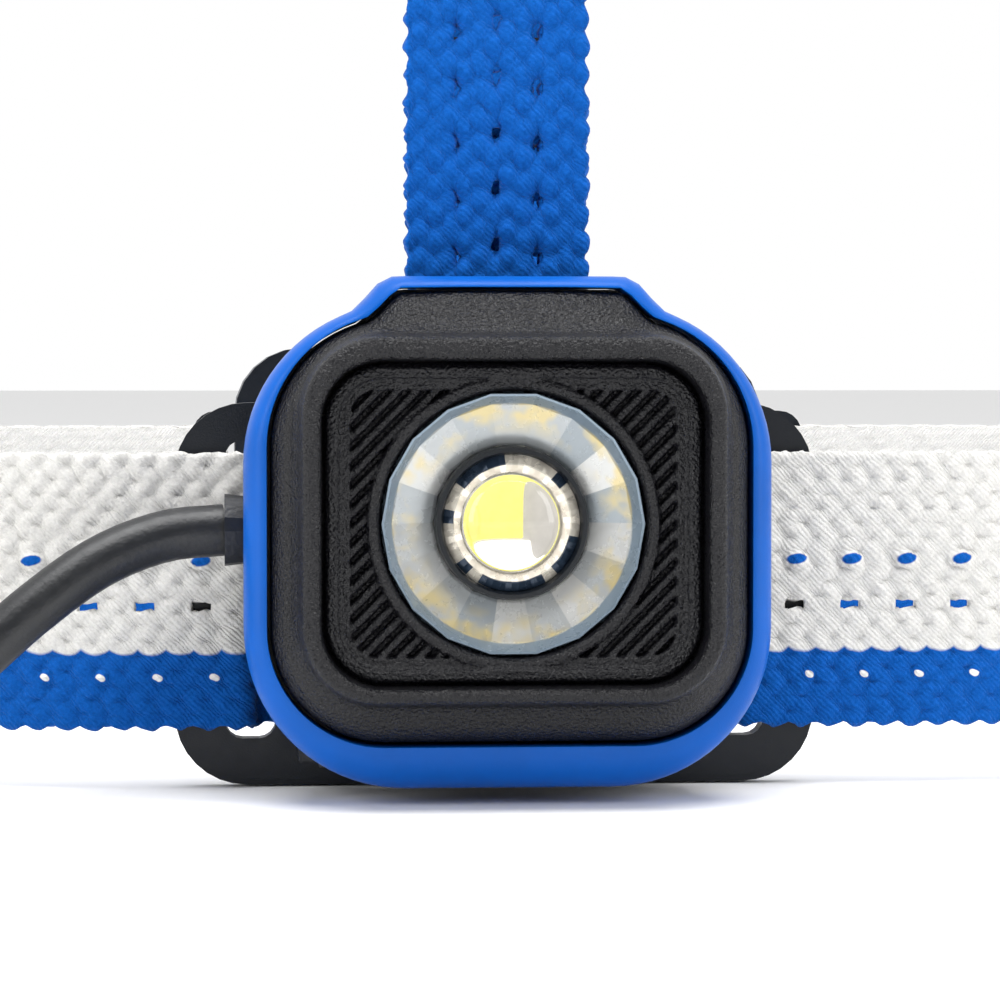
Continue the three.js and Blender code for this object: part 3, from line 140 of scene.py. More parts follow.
def tube(name, path, radius, sides=24):
    """A round body along a path, with each end filled by a flat face; radius is a number or one for each point."""
    path = np.asarray(path)
    tangent = np.gradient(path, axis=0)
    tangent /= np.linalg.norm(tangent, axis=1)[:, None]
    side = np.cross(tangent[0], [0, 0, 1.0])
    radius = np.broadcast_to(radius, len(path))
    rings = []
    for point, along, r in zip(path, tangent, radius):
        side = side - along * side.dot(along)
        side /= np.linalg.norm(side)
        other = np.cross(along, side)
        turn = np.linspace(0, 2 * pi, sides, endpoint=False)[:, None]
        rings.append(point + r * (np.cos(turn) * side + np.sin(turn) * other))
    return swept(name, rings, closed=False)


# ---------------------------------------------------------------- the lead
LEAD_ROUTE = [(-24.65, -7, 23.4), (-29.8, -7.6, 22.9), (-35.4, -9.2, 20.8), (-41.4, -11.2, 16.6),
              (-47.4, -12.4, 11.4), (-54, -11.8, 6.8), (-60.8, -8.8, 4.8), (-66.8, -3, 5.4),
              (-71.6, 5, 8.8), (-75.4, 14.8, 13.6), (-79.1, 23.2, 17.5), (-80.9, 28.4, 17.7),
              (-83, 33.5, 17.5), (-86.6, 48, 13.6), (-90.1, 65, 8.8), (-91.9, 82, 6.8), (-91.6, 98, 6.8),
              (-89.6, 113, 9), (-86.2, 127, 12.8), (-81, 140.6, 16.6), (-76.4, 149.9, 17.6),
              (-73, 154.3, 17.7), (-69.6, 158.6, 17.6), (-64, 164.8, 17.2), (-55.5, 171, 16.2),
              (-45.5, 175.6, 15), (-35.5, 177.2, 14.2), (-25.9, 177.2, 14)]
lead_path = catmull(LEAD_ROUTE, 1.5)
lead = tube("lead_cable", lead_path, LEAD_RADIUS)
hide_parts("lead")
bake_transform(lead)


# ---------------------------------------------------------------- materials
class Nodes:
    """A procedural material, built from short calls."""

    def __init__(self, name, color, rough, metal=0.0, **inputs):
        self.material = bpy.data.materials.new(name)
        self.material.use_nodes = True
        self.tree = self.material.node_tree
        self.shader = self.tree.nodes["Principled BSDF"]
        self.set("Base Color", color if len(color) == 4 else (*color, 1))
        self.set("Roughness", rough)
        self.set("Metallic", metal)
        for key, value in inputs.items():
            self.set(key.replace("_", " "), value)
        self.place = None

    def set(self, socket, value):
        self.shader.inputs[socket].default_value = value

    def link(self, source, target):
        self.tree.links.new(source, target)

    def node(self, kind, **values):
        made = self.tree.nodes.new("ShaderNode" + kind)
        for key, value in values.items():
            if hasattr(made, key):
                setattr(made, key, value)
            else:
                made.inputs[key.replace("_", " ")].default_value = value
        return made

    def where(self):
        if self.place is None:
            self.place = self.node("TexCoord").outputs["Object"]
        return self.place

    def noise(self, scale, detail=4.0, rough=0.6):
        made = self.node("TexNoise", Scale=scale, Detail=detail, Roughness=rough)
        self.link(self.where(), made.inputs["Vector"])
        return made.outputs["Fac"]

    def math(self, operation, *values):
        made = self.node("Math", operation=operation)
        for socket, value in zip(made.inputs, values):
            if isinstance(value, (int, float)):
                socket.default_value = value
            else:
                self.link(value, socket)
        return made.outputs[0]

    def mix(self, factor, a, b):
        made = self.node("Mix", data_type="RGBA")
        for socket, value in zip((made.inputs[0], made.inputs[6], made.inputs[7]), (factor, a, b)):
            if isinstance(value, tuple):
                socket.default_value = (*value, 1)
            else:
                self.link(value, socket)
        return made.outputs[2]

    def span(self, value, low, high, to_low=0.0, to_high=1.0):
        made = self.node("MapRange")
        self.link(value, made.inputs[0])
        for i, number in enumerate((low, high, to_low, to_high)):
            made.inputs[i + 1].default_value = number
        return made.outputs[0]

    def bump(self, height, distance, strength=1.0):
        made = self.node("Bump", Distance=distance, Strength=strength)
        self.link(height, made.inputs["Height"])
        if self.shader.inputs["Normal"].links:
            self.link(self.shader.inputs["Normal"].links[0].from_socket, made.inputs["Normal"])
        self.link(made.outputs[0], self.shader.inputs["Normal"])
        return self

    def wear(self, low, high, scale=900):
        self.link(self.span(self.noise(scale, 5), 0.3, 0.7, low, high), self.shader.inputs["Roughness"])
        return self


def plastic(name, color, rough, grain, depth, metal=0.0, shine=0.5):
    """Moulded plastic: spark-eroded grain with slow changes in sheen and tone."""
    made = Nodes(name, color, rough, metal, Specular_IOR_Level=shine)
    tone = made.span(made.noise(140, 3), 0.3, 0.7, 0.9, 1.1)
    darker = tuple(c * 0.86 for c in color)
    made.link(made.mix(made.span(tone, 0.9, 1.1), darker, color), made.shader.inputs["Base Color"])
    made.bump(made.noise(grain, 2, 0.5), depth)
    return made.wear(rough * 0.85, rough * 1.15)


BLUE = plastic("blue_plastic", (0.0, 0.092, 0.44), 0.36, 9000, 0.000012, shine=0.18).material
BLACK_GRAIN = plastic("black_grain", (0.004, 0.004, 0.006), 0.3, 3600, 0.0003, shine=0.32).material
BLACK_SATIN = plastic("black_satin", (0.006, 0.008, 0.011), 0.33, 7000, 0.00002, shine=0.35).material
DARK = plastic("dark_plastic", (0.004, 0.006, 0.010), 0.36, 6000, 0.00002, shine=0.35).material
GREY = plastic("grey_plastic", (0.065, 0.073, 0.085), 0.5, 4200, 0.00005).material
RUBBER = plastic("rubber", (0.010, 0.011, 0.013), 0.4, 2600, 0.00004).material
FOAM = plastic("foam", (0.033, 0.036, 0.042), 0.95, 1500, 0.0003).material
BOARD = plastic("green_board", (0.005, 0.06, 0.028), 0.45, 3000, 0.00002).material
WHITE_BOARD = plastic("white_board", (0.85, 0.85, 0.82), 0.5, 3000, 0.00002).material
METAL = plastic("aluminium", (0.62, 0.63, 0.65), 0.3, 5200, 0.00002, 1.0).material
STEEL = plastic("steel", (0.45, 0.46, 0.48), 0.28, 5200, 0.00002, 1.0).material
CELL = plastic("battery_wrap", (0.08, 0.2, 0.5), 0.3, 5200, 0.00002).material

clear = Nodes("clear_optic", (1, 1, 1), 0.03, Transmission_Weight=1.0, IOR=1.49)
CLEAR = clear.bump(clear.noise(600, 1), 0.000004).material
red = Nodes("red_optic", (0.75, 0.015, 0.02), 0.12, Transmission_Weight=0.75, IOR=1.49)
RED = red.bump(red.noise(900, 1), 0.00001).material
lead.data.materials.append(RUBBER)


def finish_piece(made, material, slot, body, *nodes):
    """Gives a piece its finish, the nodes that it stands for and the body that it moves with."""
    made.data.materials.append(material)
    if nodes:
        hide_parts(*nodes)
    if body:
        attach(made, body)
    return made


# ---------------------------------------------------------------- the lamp
HUMP_CREST, HUMP_FOOT = 10.3, 13.9  # half widths of the hump's flat top and of its foot
BEZEL = dict(half=23.0, low=1.2, high=43.4, corner_low=14.0, corner_high=14.0, hump=2.3, shift=0.0)


def inset(outline, by, **changes):
    """The outline drawn in by a distance; its corners and hump follow."""
    made = dict(outline, half=outline["half"] - by, low=outline["low"] + by, high=outline["high"] - by,
                corner_low=max(outline["corner_low"] - by, 1), corner_high=max(outline["corner_high"] - by, 1),
                shift=outline["shift"] + by * 0.6)
    made.update(changes)
    return made


HOUSING = inset(BEZEL, 1.4)
COVER = inset(BEZEL, 2.3, low=5.4, high=42.1, corner_low=9.8, corner_high=11.2)
RIDGE = dict(half=18.1, low=9.2, high=40.4, corner_low=6.6, corner_high=6.8, hump=0.0, shift=0.0)
WINDOW = dict(half=16.5, low=10.5, high=38.4, corner_low=5.3, corner_high=5.3, hump=0.0, shift=0.0)


def smoothstep(value, low, high):
    t = np.clip((value - low) / (high - low), 0, 1)
    return t * t * (3 - 2 * t)


def ring(outline, front, fine=20):
    """The lamp's outline at a distance in front of the bracket."""
    o = outline
    corners = [(o["half"] - o["corner_low"], o["low"] + o["corner_low"], o["corner_low"], -90),
               (o["half"] - o["corner_high"], o["high"] - o["corner_high"], o["corner_high"], 0),
               (o["corner_high"] - o["half"], o["high"] - o["corner_high"], o["corner_high"], 90),
               (o["corner_low"] - o["half"], o["low"] + o["corner_low"], o["corner_low"], 180)]
    points = []
    for x, z, r, start in corners:
        turn = np.radians(start + np.linspace(0, 90, fine))
        points.append(np.stack([x + r * np.cos(turn), z + r * np.sin(turn)], 1))
    points = np.vstack(points)
    gaps = np.roll(points, -1, 0) - points
    middle = []
    for i in range(len(points)):
        straight = i % fine == fine - 1
        middle += [points[i] + gaps[i] * t for t in ((0, 0.25, 0.5, 0.75) if straight else (0,))]
    points = np.array(middle)
    share = smoothstep(-abs(points[:, 0]), -(HUMP_FOOT - o["shift"]), -(HUMP_CREST - o["shift"]))
    points[:, 1] += np.where(points[:, 1] > 24, o["hump"] * share, 0)
    return np.stack([points[:, 0], np.full(len(points), -float(front)), points[:, 1]], 1)


def rounded_profile(rings, times=2):
    """Closed chain of rings with every corner of its section cut twice, which rounds it."""
    rings = np.asarray(rings)
    for _ in range(times):
        after = np.roll(rings, -1, 0)
        cuts = np.stack([rings * 0.75 + after * 0.25, rings * 0.25 + after * 0.75], 1)
        rings = cuts.reshape(-1, *rings.shape[1:])
    return rings


outer, inner = ring(BEZEL, 0), ring(inset(COVER, -0.3), 0)
bezel_rings = [ring(inset(BEZEL, 0.9), 10.5), ring(inset(BEZEL, 0.35), 11.0), ring(BEZEL, 12.6), ring(BEZEL, 14.4)]
for t in (0.0, 0.06, 0.2, 0.42, 0.68, 0.9, 1.0):
    bezel_rings.append(outer * (1 - t) + inner * t - [0, 15.4 + 2.75 * (1 - (1 - t) ** 2) ** 0.5, 0])
bezel_rings += [ring(inset(COVER, -0.3), 17.4), ring(inset(COVER, -0.3), 13.6), ring(inset(HOUSING, -0.35), 13.3),
                ring(inset(HOUSING, -0.35), 10.6)]
bezel = swept("bezel_body", rounded_profile(bezel_rings, 1))
finish_piece(bezel, BLUE, "blue_plastic", "lamp", "bezel_ring")

SEAL_SECTION = ((1.1, 13.1), (-0.28, 13.1), (-0.28, 13.32), (1.1, 13.32))
seal_rings = [ring(inset(HOUSING, by), front) for by, front in SEAL_SECTION]
finish_piece(swept("cover_seal", seal_rings), RUBBER, "rubber", "lamp")

flattened = dict(COVER, hump=1.5)
cover_rings = [ring(inset(COVER, 1.5), 13.7), ring(COVER, 13.7), ring(COVER, 17.3), ring(inset(COVER, 0.25), 18.3),
               ring(inset(flattened, 0.9), 19.4), ring(inset(flattened, 1.7), 20.0), ring(inset(RIDGE, -0.75), 20.5),
               ring(inset(RIDGE, -0.35), 21.0), ring(inset(RIDGE, -0.1), 22.8), ring(inset(RIDGE, 0.0), 23.5),
               ring(inset(RIDGE, 0.35), 23.9), ring(inset(WINDOW, -0.45), 24.0), ring(inset(WINDOW, -0.1), 23.8),
               ring(inset(WINDOW, 0.0), 23.2), ring(inset(WINDOW, 0.15), 20.3), ring(inset(WINDOW, 1.3), 20.1),
               ring(inset(WINDOW, 1.4), 17.8), ring(inset(COVER, 1.5), 17.4)]
cover = swept("cover_body", rounded_profile(cover_rings, 1), cut=50)
finish_piece(cover, BLACK_GRAIN, "black_plastic", "lamp", "front_cover")


def box_distance(x, z, o):
    """Distance from a rounded rectangle's outline, below zero inside it."""
    r = o["corner_low"]
    mid, tall = (o["low"] + o["high"]) / 2, (o["high"] - o["low"]) / 2
    dx, dz = abs(x) - (o["half"] - r), abs(z - mid) - (tall - r)
    return np.hypot(np.maximum(dx, 0), np.maximum(dz, 0)) + np.minimum(np.maximum(dx, dz), 0) - r


def lens_carrier():
    """The panel round the lens: a rim, two pockets of slanting ribs and a smooth ring."""
    frame_line = inset(WINDOW, 0.25)
    xs = np.arange(-16.3, 16.31, 0.14)
    zs = np.arange(10.7, 38.21, 0.14)
    x, z = np.meshgrid(xs, zs, indexing="ij")
    edge = -box_distance(x, z, frame_line)
    radius = np.hypot(x, z - LENS_Z)
    height = np.full(x.shape, 21.45)
    height += 0.45 * smoothstep(edge, 1.45, 1.1) * smoothstep(edge, 0.05, 0.45)
    pocket = smoothstep(-box_distance(x, z, inset(WINDOW, 2.45, corner_low=2.4)), 0.0, 0.22)
    pocket = pocket * smoothstep(radius, 12.45, 12.7)
    across = (x - (z - LENS_Z)) / 2 ** 0.5
    rib = smoothstep(abs((across / 1.16) % 1 - 0.5), 0.12, 0.3)
    height -= pocket * (0.95 - 0.75 * rib)
    height += 0.22 * smoothstep(radius, 12.75, 12.35) * smoothstep(radius, 11.5, 11.9)
    height -= 1.1 * smoothstep(radius, 11.7, 11.35)
    keep = (edge > 0) & (radius > 11.25)
    faces = []
    cells = keep[:-1, :-1] & keep[1:, :-1] & keep[:-1, 1:] & keep[1:, 1:]
    columns = len(zs)
    for i, j in zip(*np.nonzero(cells)):
        a = int(i) * columns + int(j)
        faces.append((a, a + columns, a + columns + 1, a + 1))
    used = sorted({k for f in faces for k in f})
    renumber = {old: new for new, old in enumerate(used)}
    points = np.stack([x, -height, z], -1).reshape(-1, 3)[used]
    made = mesh_object("lens_carrier", points, [[renumber[k] for k in f] for f in faces], cut=60)
    if made.data.polygons[0].normal.y > 0:
        made.data.flip_normals()
    thick = made.modifiers.new("thickness", "SOLIDIFY")
    thick.thickness, thick.offset = 0.6 * MM, -1
    return made


finish_piece(lens_carrier(), BLACK_GRAIN, "black_plastic", "lamp", "lens_panel")


def lathe(name, profile, sides, cut=20, closed=True):
    """A closed profile of (radius, distance in front of the bracket), turned about the lens axis."""
    angle = np.linspace(0, 2 * pi, sides, endpoint=False)
    rings = [np.stack([r * np.cos(angle), np.full(sides, -float(front)), LENS_Z + r * np.sin(angle)], 1)
             for r, front in profile]
    return swept(name, rings, closed=closed, cut=cut)


REFLECTOR_SIDES = 18


def cut_optic(name, sides, blend):
    """Bright moulded optic: each facet has its own tone, which blend turns into a colour by radius; the bowl's blend
    also paints in a reflection of the yellow emitter.
    """
    made = Nodes(name, (0.7, 0.7, 0.7, 1), 0.25, 0.35)
    split = made.node("SeparateXYZ")
    made.link(made.where(), split.inputs[0])
    m = made.math
    across = split.outputs[0]
    up = m("SUBTRACT", split.outputs[2], LENS_Z * MM)
    number = m("FLOOR", m("MULTIPLY", m("ADD", m("ARCTAN2", up, across), 2 * pi), sides / (2 * pi)))
    dice = made.node("TexWhiteNoise", noise_dimensions="1D")
    made.link(number, dice.inputs["W"])
    radius = m("MULTIPLY", m("SQRT", m("ADD", m("MULTIPLY", up, up), m("MULTIPLY", across, across))), 1 / MM)
    made.link(blend(made, dice.outputs["Value"], radius), made.shader.inputs["Base Color"])
    made.bump(made.noise(700, 3), 0.00002, 0.5)
    return made.wear(0.2, 0.34, 400).material


def bowl_color(made, dice, radius):
    pale = made.mix(dice, (0.29, 0.325, 0.35), (0.64, 0.64, 0.62))
    # Painted reflection: a warm yellow blotch on the facets between radii 7.6 and 9.2 mm stands for the yellow emitter
    # seen mirrored in them.
    painted_reflection_mask = made.math("MULTIPLY", made.span(radius, 7.6, 9.2), made.span(made.noise(420, 2), 0.42, 0.62))
    with_painted_reflection = made.mix(made.math("MULTIPLY", painted_reflection_mask, 0.75), pale, (0.66, 0.53, 0.22))
    return made.mix(made.span(radius, 10.3, 10.4), with_painted_reflection, (0.20, 0.26, 0.32))


def crown_color(made, dice, radius):
    cut = made.math("GREATER_THAN", dice, 0.42)
    tone = made.mix(cut, (0.02, 0.035, 0.06), (0.62, 0.58, 0.50))
    return made.mix(made.span(radius, 5.0, 5.06), (0.95, 0.88, 0.76), tone)


MIRROR = cut_optic("mirror_optic", REFLECTOR_SIDES, bowl_color)
CROWN = cut_optic("mirror_optic", 30, crown_color)
bowl = [(6.75, 16.0), (6.75, 17.8), (7.0, 18.0), (10.35, 19.2), (11.1, 20.9), (11.3, 20.95), (11.3, 19.0),
        (11.9, 18.9), (11.9, 18.4), (10.6, 18.2), (7.6, 16.0)]
finish_piece(lathe("reflector_bowl", bowl, REFLECTOR_SIDES, 5), MIRROR, "mirror_optic", "lamp", "reflector")
retainer = [(5.95, 16.4), (5.95, 19.2), (6.15, 19.5), (6.5, 19.5), (6.65, 19.2), (6.65, 16.4)]
finish_piece(lathe("lens_retainer", retainer, 72, 40), BLACK_SATIN, "black_plastic", "lamp")


CROWN_SECTION = ((5.9, 17.0, 0), (5.9, 18.7, 0), (5.15, 19.1, 1.0), (4.45, 18.6, -0.5), (4.3, 18.0, 0), (4.3, 17.0, 0))


def crown():
    """A ring of small cut facets round the central lens, high and low by turns."""
    sides = 60
    angle = np.linspace(0, 2 * pi, sides, endpoint=False)
    lift = np.where(np.arange(sides) // 2 % 2, 0.32, -0.12)
    rings = []
    for r, front, share in CROWN_SECTION:
        y = -(front + lift * share)
        rings.append(np.stack([r * np.cos(angle), y * np.ones(sides), LENS_Z + r * np.sin(angle)], 1))
    return swept("lens_crown", rings, cut=5)


finish_piece(crown(), CROWN, "mirror_optic", "lamp")
dome_profile = [(0.001, 17.4), (4.1, 17.4), (4.2, 17.6), (4.2, 18.3)]
dome_profile += [(4.2 * cos(t), 18.3 + 1.5 * sin(t)) for t in np.linspace(0.15, 1.5, 9)] + [(0.001, 19.8)]
central_lens = lathe("central_lens", dome_profile, 48, 40, closed=False)
finish_piece(central_lens, CLEAR, "clear_optic", "lamp", "collimator")


def block(name, x, y, z, edge=0.12):
    """A box with rounded edges."""
    made = mesh_object(name, [(a, b, c) for a in x for b in y for c in z],
                       [(0, 1, 3, 2), (4, 6, 7, 5), (0, 4, 5, 1), (2, 3, 7, 6), (0, 2, 6, 4), (1, 5, 7, 3)], smooth=False)
    soften(made, edge)
    return made


def soften(made, width, angle=35, segments=3):
    """Rounds the sharp edges of a piece by a modifier, which leaves its mesh alone."""
    join = made.modifiers.new("flat faces", "DECIMATE")
    join.decimate_type, join.angle_limit = "DISSOLVE", radians(1.5)
    bevel = made.modifiers.new("rounded edges", "BEVEL")
    bevel.width, bevel.segments, bevel.limit_method = width * MM, segments, "ANGLE"
    bevel.angle_limit, bevel.use_clamp_overlap, bevel.miter_outer = radians(angle), True, "MITER_ARC"
    bevel.harden_normals = False
    shade = made.modifiers.new("weighted", "WEIGHTED_NORMAL")
    shade.keep_sharp = True
    return made


# Painted glow: an emitting material for parts of the LED that give no light, its strength wavering in spots.
def painted_glow(name, color, strength):
    made = Nodes(name, (*(c * 0.3 for c in color), 1), 0.5)
    made.set("Emission Color", (*color, 1))
    spots = made.span(made.noise(1500, 2), 0.2, 0.8, strength * 0.85, strength * 1.1)
    made.link(spots, made.shader.inputs["Emission Strength"])
    return made.material


# The LED is unlit: the die's yellow is the phosphor's own colour, but its glow is painted light.
PHOSPHOR_PAINTED_GLOW = painted_glow("emitter", (1.0, 0.93, 0.20), 1.0)
# Painted reflection: a glowing white that stands for a softbox mirrored under the die.
PAINTED_REFLECTION_GLOW = painted_glow("painted_reflection_glow", (1.0, 0.98, 0.93), 1.3)
# Painted glow: the milky base of the unlit LED is made to give light.
MILK_PAINTED_GLOW = painted_glow("milk_painted_glow", (0.80, 0.76, 0.70), 0.65)
emitter = block("led_die", (-1.8, 1.1), (-14.2, -13.4), (LENS_Z - 1.2, LENS_Z + 3.0))
finish_piece(emitter, PHOSPHOR_PAINTED_GLOW, "emitter", "lamp", "led_emitter")
# The LED's milky base, with a painted glow.
led_base = block("led_base", (-3.9, 3.9), (-13.4, -13.1), (LENS_Z - 4.2, LENS_Z + 3.6))
finish_piece(led_base, MILK_PAINTED_GLOW, "emitter", "lamp")
# A white block under the die, made to glow: a painted reflection of a softbox, not a part of the LED.
led_painted_reflection = block("led_painted_reflection", (-1.7, 1.6), (-14.0, -13.4), (LENS_Z - 3.9, LENS_Z - 1.3))
finish_piece(led_painted_reflection, PAINTED_REFLECTION_GLOW, "emitter", "lamp")

# ---------------------------------------------------------------- webbing
STITCH = 2.53  # from one stitch to the next along the webbing, at life size
PAIR = 2 * STITCH


def rounded_path(corners):
    """A flat path whose inner corners, (a, b, bend radius), are rounded."""
    path = [np.array(corners[0][:2], float)]
    for before, here, after in zip(corners, corners[1:], corners[2:]):
        p = np.array(here[:2], float)
        a, b = np.array(before[:2]) - p, np.array(after[:2]) - p
        a, b = a / np.linalg.norm(a), b / np.linalg.norm(b)
        half = np.arccos(np.clip(a.dot(b), -1, 1)) / 2
        middle = p + (a + b) / np.linalg.norm(a + b) * here[2] / sin(half)
        start, end = p + a * here[2] / tan(half) - middle, p + b * here[2] / tan(half) - middle
        first = np.arctan2(start[1], start[0])
        sweep = np.arctan2(end[1], end[0]) - first
        sweep = np.arctan2(sin(sweep), cos(sweep))
        for k in np.linspace(0, 1, max(4, int(abs(sweep) * here[2] / 0.5) + 2)):
            turn = first + sweep * k
            path.append(middle + here[2] * np.array([cos(turn), sin(turn)]))
    path.append(np.array(corners[-1][:2], float))
    return np.array(path)


def knit_height(along, across, low, high):
    """Relief of the knit in millimetres: slanting stitches in columns, a little uneven."""
    column = (across - low) / 1.32
    zig = abs((column % 2) - 1)
    stitch = np.cos(2 * pi * (along / STITCH + 0.55 * zig))
    cord = np.cos(2 * pi * column)
    wander = np.sin(along * 1.9 + across * 2.3) * np.sin(along * 0.83 - across * 1.7)
    wander += np.sin(along * 5.1 + across * 4.3) * 0.5
    return 0.19 * stitch * (0.65 + 0.35 * cord) + 0.05 * cord + 0.085 * wander


def webbing(name, path, place, low, high, fine, eyelets, dips=(), coarse=1.5, step=0.3, rows=60):
    """A knitted strap. place turns (along the path, its two plane coordinates, the distance across) into a point;
    fine says where the mesh is close; eyelets are (across, first, half length, half width) rows of open holes."""
    curve = resample(path, 0.2)
    along = lengths(curve)
    steps = np.where([fine(p) for p in curve], 1 / step, 1 / coarse)
    share = np.concatenate([[0], np.cumsum((steps[1:] + steps[:-1]) / 2 * np.diff(along))])
    s = np.interp(np.linspace(0, share[-1], int(share[-1]) + 2), share, along)
    centre = np.stack([np.interp(s, along, curve[:, k]) for k in (0, 1)], 1)
    tangent = np.gradient(centre, s, axis=0)
    tangent /= np.linalg.norm(tangent, axis=1)[:, None]
    normal = np.stack([-tangent[:, 1], tangent[:, 0]], 1)
    w = np.linspace(0, 1, rows)
    scallop = 0.28 * (abs(np.sin(pi * s / STITCH)) - 0.5)
    a, b = np.meshgrid(s, w, indexing="ij")
    across = (low + 0.2 - scallop)[:, None] * (1 - b) + (high - 0.2 + scallop)[:, None] * b
    relief = knit_height(a, across, low, high)
    for level, first, half_length, half_width in dips:
        near = abs(((a - first) / PAIR + 0.5) % 1 - 0.5) * PAIR
        spread = (near / half_length) ** 2 + ((across - level) / half_width) ** 2
        relief -= 0.45 * smoothstep(-spread, -2.2, -0.6)
    flat = centre[:, None, :] + normal[:, None, :] * relief[:, :, None]
    points = place(flat, across)
    gap = np.zeros(a.shape, bool)
    for level, first, half_length, half_width in eyelets:
        near = abs(((a - first) / PAIR + 0.5) % 1 - 0.5) * PAIR
        gap |= (near / half_length) ** 2 + ((across - level) / half_width) ** 2 < 1
    close = np.array([fine(p) for p in centre])
    gap &= close[:, None]
    cells = ~(gap[:-1, :-1] | gap[1:, :-1] | gap[:-1, 1:] | gap[1:, 1:])
    quads = np.array(grid_faces(len(s), rows)).reshape(len(s) - 1, rows - 1, 4)[cells]
    used, quads = np.unique(quads, return_inverse=True)
    quads = quads.reshape(-1, 4)
    made = mesh_object(name, points.reshape(-1, 3)[used], quads.tolist(), cut=80)
    layer = made.data.uv_layers.new(name="cloth")
    cloth = np.stack([a.ravel()[used], across.ravel()[used]], 1)
    index = np.empty(len(made.data.loops), int)
    made.data.loops.foreach_get("vertex_index", index)
    layer.data.foreach_set("uv", cloth[index].ravel())
    thick = made.modifiers.new("thickness", "SOLIDIFY")
    thick.thickness, thick.offset, thick.use_even_offset = (STRAP_THICK - 0.35) * MM, 0, False
    return made


WHITE_YARN, BLUE_YARN = (0.87, 0.855, 0.82), (0.0, 0.10, 0.45)
BAND_SPLIT = 12.25  # height where the white webbing turns blue
DASH_LEVEL, HOLE_LEVEL, DOT_LEVEL = 20.4, 16.3, 9.9


def knit_material(name, banded):
    """Yarn: coarse fibres along the stitches, soft fuzz, and the stripes and dashes of the head band."""
    made = Nodes(name, (*BLUE_YARN, 1), 0.9)
    made.set("Sheen Weight", 0.08)
    made.set("Sheen Roughness", 0.4)
    made.set("Specular IOR Level", 0.1)
    uv = made.node("UVMap", uv_map="cloth").outputs[0]
    split = made.node("SeparateXYZ")
    made.link(uv, split.inputs[0])
    u, v = split.outputs[0], split.outputs[1]
    m = made.math

    def spots(first, level, half_length, half_width):
        turns = m("ADD", m("DIVIDE", m("SUBTRACT", u, first), PAIR), 100.5)
        near = m("MULTIPLY", m("ABSOLUTE", m("SUBTRACT", m("FRACT", turns), 0.5)), PAIR)
        a = m("POWER", m("DIVIDE", near, half_length), 2.0)
        b = m("POWER", m("ABSOLUTE", m("DIVIDE", m("SUBTRACT", v, level), half_width)), 2.0)
        return made.span(m("ADD", a, b), 1.25, 0.8)

    fuzz = made.node("TexNoise", Scale=2.6, Detail=5.0, Roughness=0.75)
    made.link(uv, fuzz.inputs["Vector"])
    yarn = made.node("TexWave", wave_type="BANDS", bands_direction="DIAGONAL",
                     Scale=1.35, Distortion=2.2, Detail=2.0)
    made.link(uv, yarn.inputs["Vector"])
    shade = made.span(fuzz.outputs["Fac"], 0.3, 0.7, 0.0, 1.0)
    deep, light = tuple(c * 0.72 for c in BLUE_YARN), tuple(min(1, c * 1.2 + 0.006) for c in BLUE_YARN)
    blue = made.mix(shade, deep, light)
    color = blue
    if banded:
        white = made.mix(shade, tuple(c * 0.74 for c in WHITE_YARN), WHITE_YARN)
        scallop = m("MULTIPLY", m("ABSOLUTE", m("SINE", m("MULTIPLY", u, pi / STITCH))), 0.55)
        above = made.span(m("SUBTRACT", v, m("SUBTRACT", BAND_SPLIT + 0.25, scallop)), -0.12, 0.12)
        color = made.mix(above, blue, white)
        color = made.mix(spots(0.6, DASH_LEVEL, 0.66, 0.3), color, blue)
        color = made.mix(spots(1.8, DOT_LEVEL, 0.3, 0.22), color, WHITE_YARN)
    made.link(color, made.shader.inputs["Base Color"])
    made.bump(yarn.outputs["Fac"], 0.00012, 0.5)
    made.bump(fuzz.outputs["Fac"], 0.00022, 0.9)
    return made.material


WHITE_KNIT = knit_material("white_webbing", True)
BLUE_KNIT = knit_material("blue_webbing", False)

LAYER = STRAP_THICK + 0.35
INNER_LINE, SLOT_MID, BAR_BEND = 3.45, 22.25, 1.3
HALF_BAND, FRONT_CORNER, REAR_CORNER = 84.0, 50.0, 32.0
REAR_LINE = FRONT_LINE + FRONT_CORNER + 81 + REAR_CORNER
REAR_OUTER = REAR_LINE + 4.3
REAR_SHIFT = 12.5  # sideways from the lamp to the battery pack
EAR_MID, EAR_END = 36.6, 40.6
OUTER_CORNER = REAR_CORNER + LAYER - 2
ADJUSTER_Y, CROWN_ADJUSTER_Z = 84.0, 74.0
TAIL_RUN = 38.0  # from an adjuster to where the loose second layer is cut for its own piece
LEAN_RATE = REAR_SHIFT / (REAR_LINE - FRONT_LINE)
LEAN = atan(LEAN_RATE)


def lean_at(y):
    return LEAN_RATE * (y - FRONT_LINE)


def side_point(side, along, away):
    """A point beside an adjuster: along the band towards the pack, and away from the head."""
    x = side * HALF_BAND + lean_at(ADJUSTER_Y) + along * sin(LEAN) + side * away * cos(LEAN)
    return np.stack([x, ADJUSTER_Y + along * cos(LEAN) - side * away * sin(LEAN)], -1)


def half_band(side):
    s = side

    def rear(x):
        return REAR_SHIFT + s * x

    outer = s * (HALF_BAND + LAYER / cos(LEAN)) + lean_at(REAR_LINE + LAYER)
    return [(s * SLOT_MID, INNER_LINE, BAR_BEND), (s * SLOT_MID, FRONT_LINE, BAR_BEND),
            (s * HALF_BAND, FRONT_LINE, FRONT_CORNER), (rear(HALF_BAND), REAR_LINE, REAR_CORNER),
            (rear(EAR_MID), REAR_LINE, BAR_BEND), (rear(EAR_MID), REAR_OUTER, BAR_BEND),
            (rear(EAR_END + 1.5), REAR_OUTER, 4), (rear(EAR_END + 5), REAR_LINE + LAYER, 6),
            (outer, REAR_LINE + LAYER, OUTER_CORNER), tuple(side_point(s, TAIL_RUN, LAYER))]


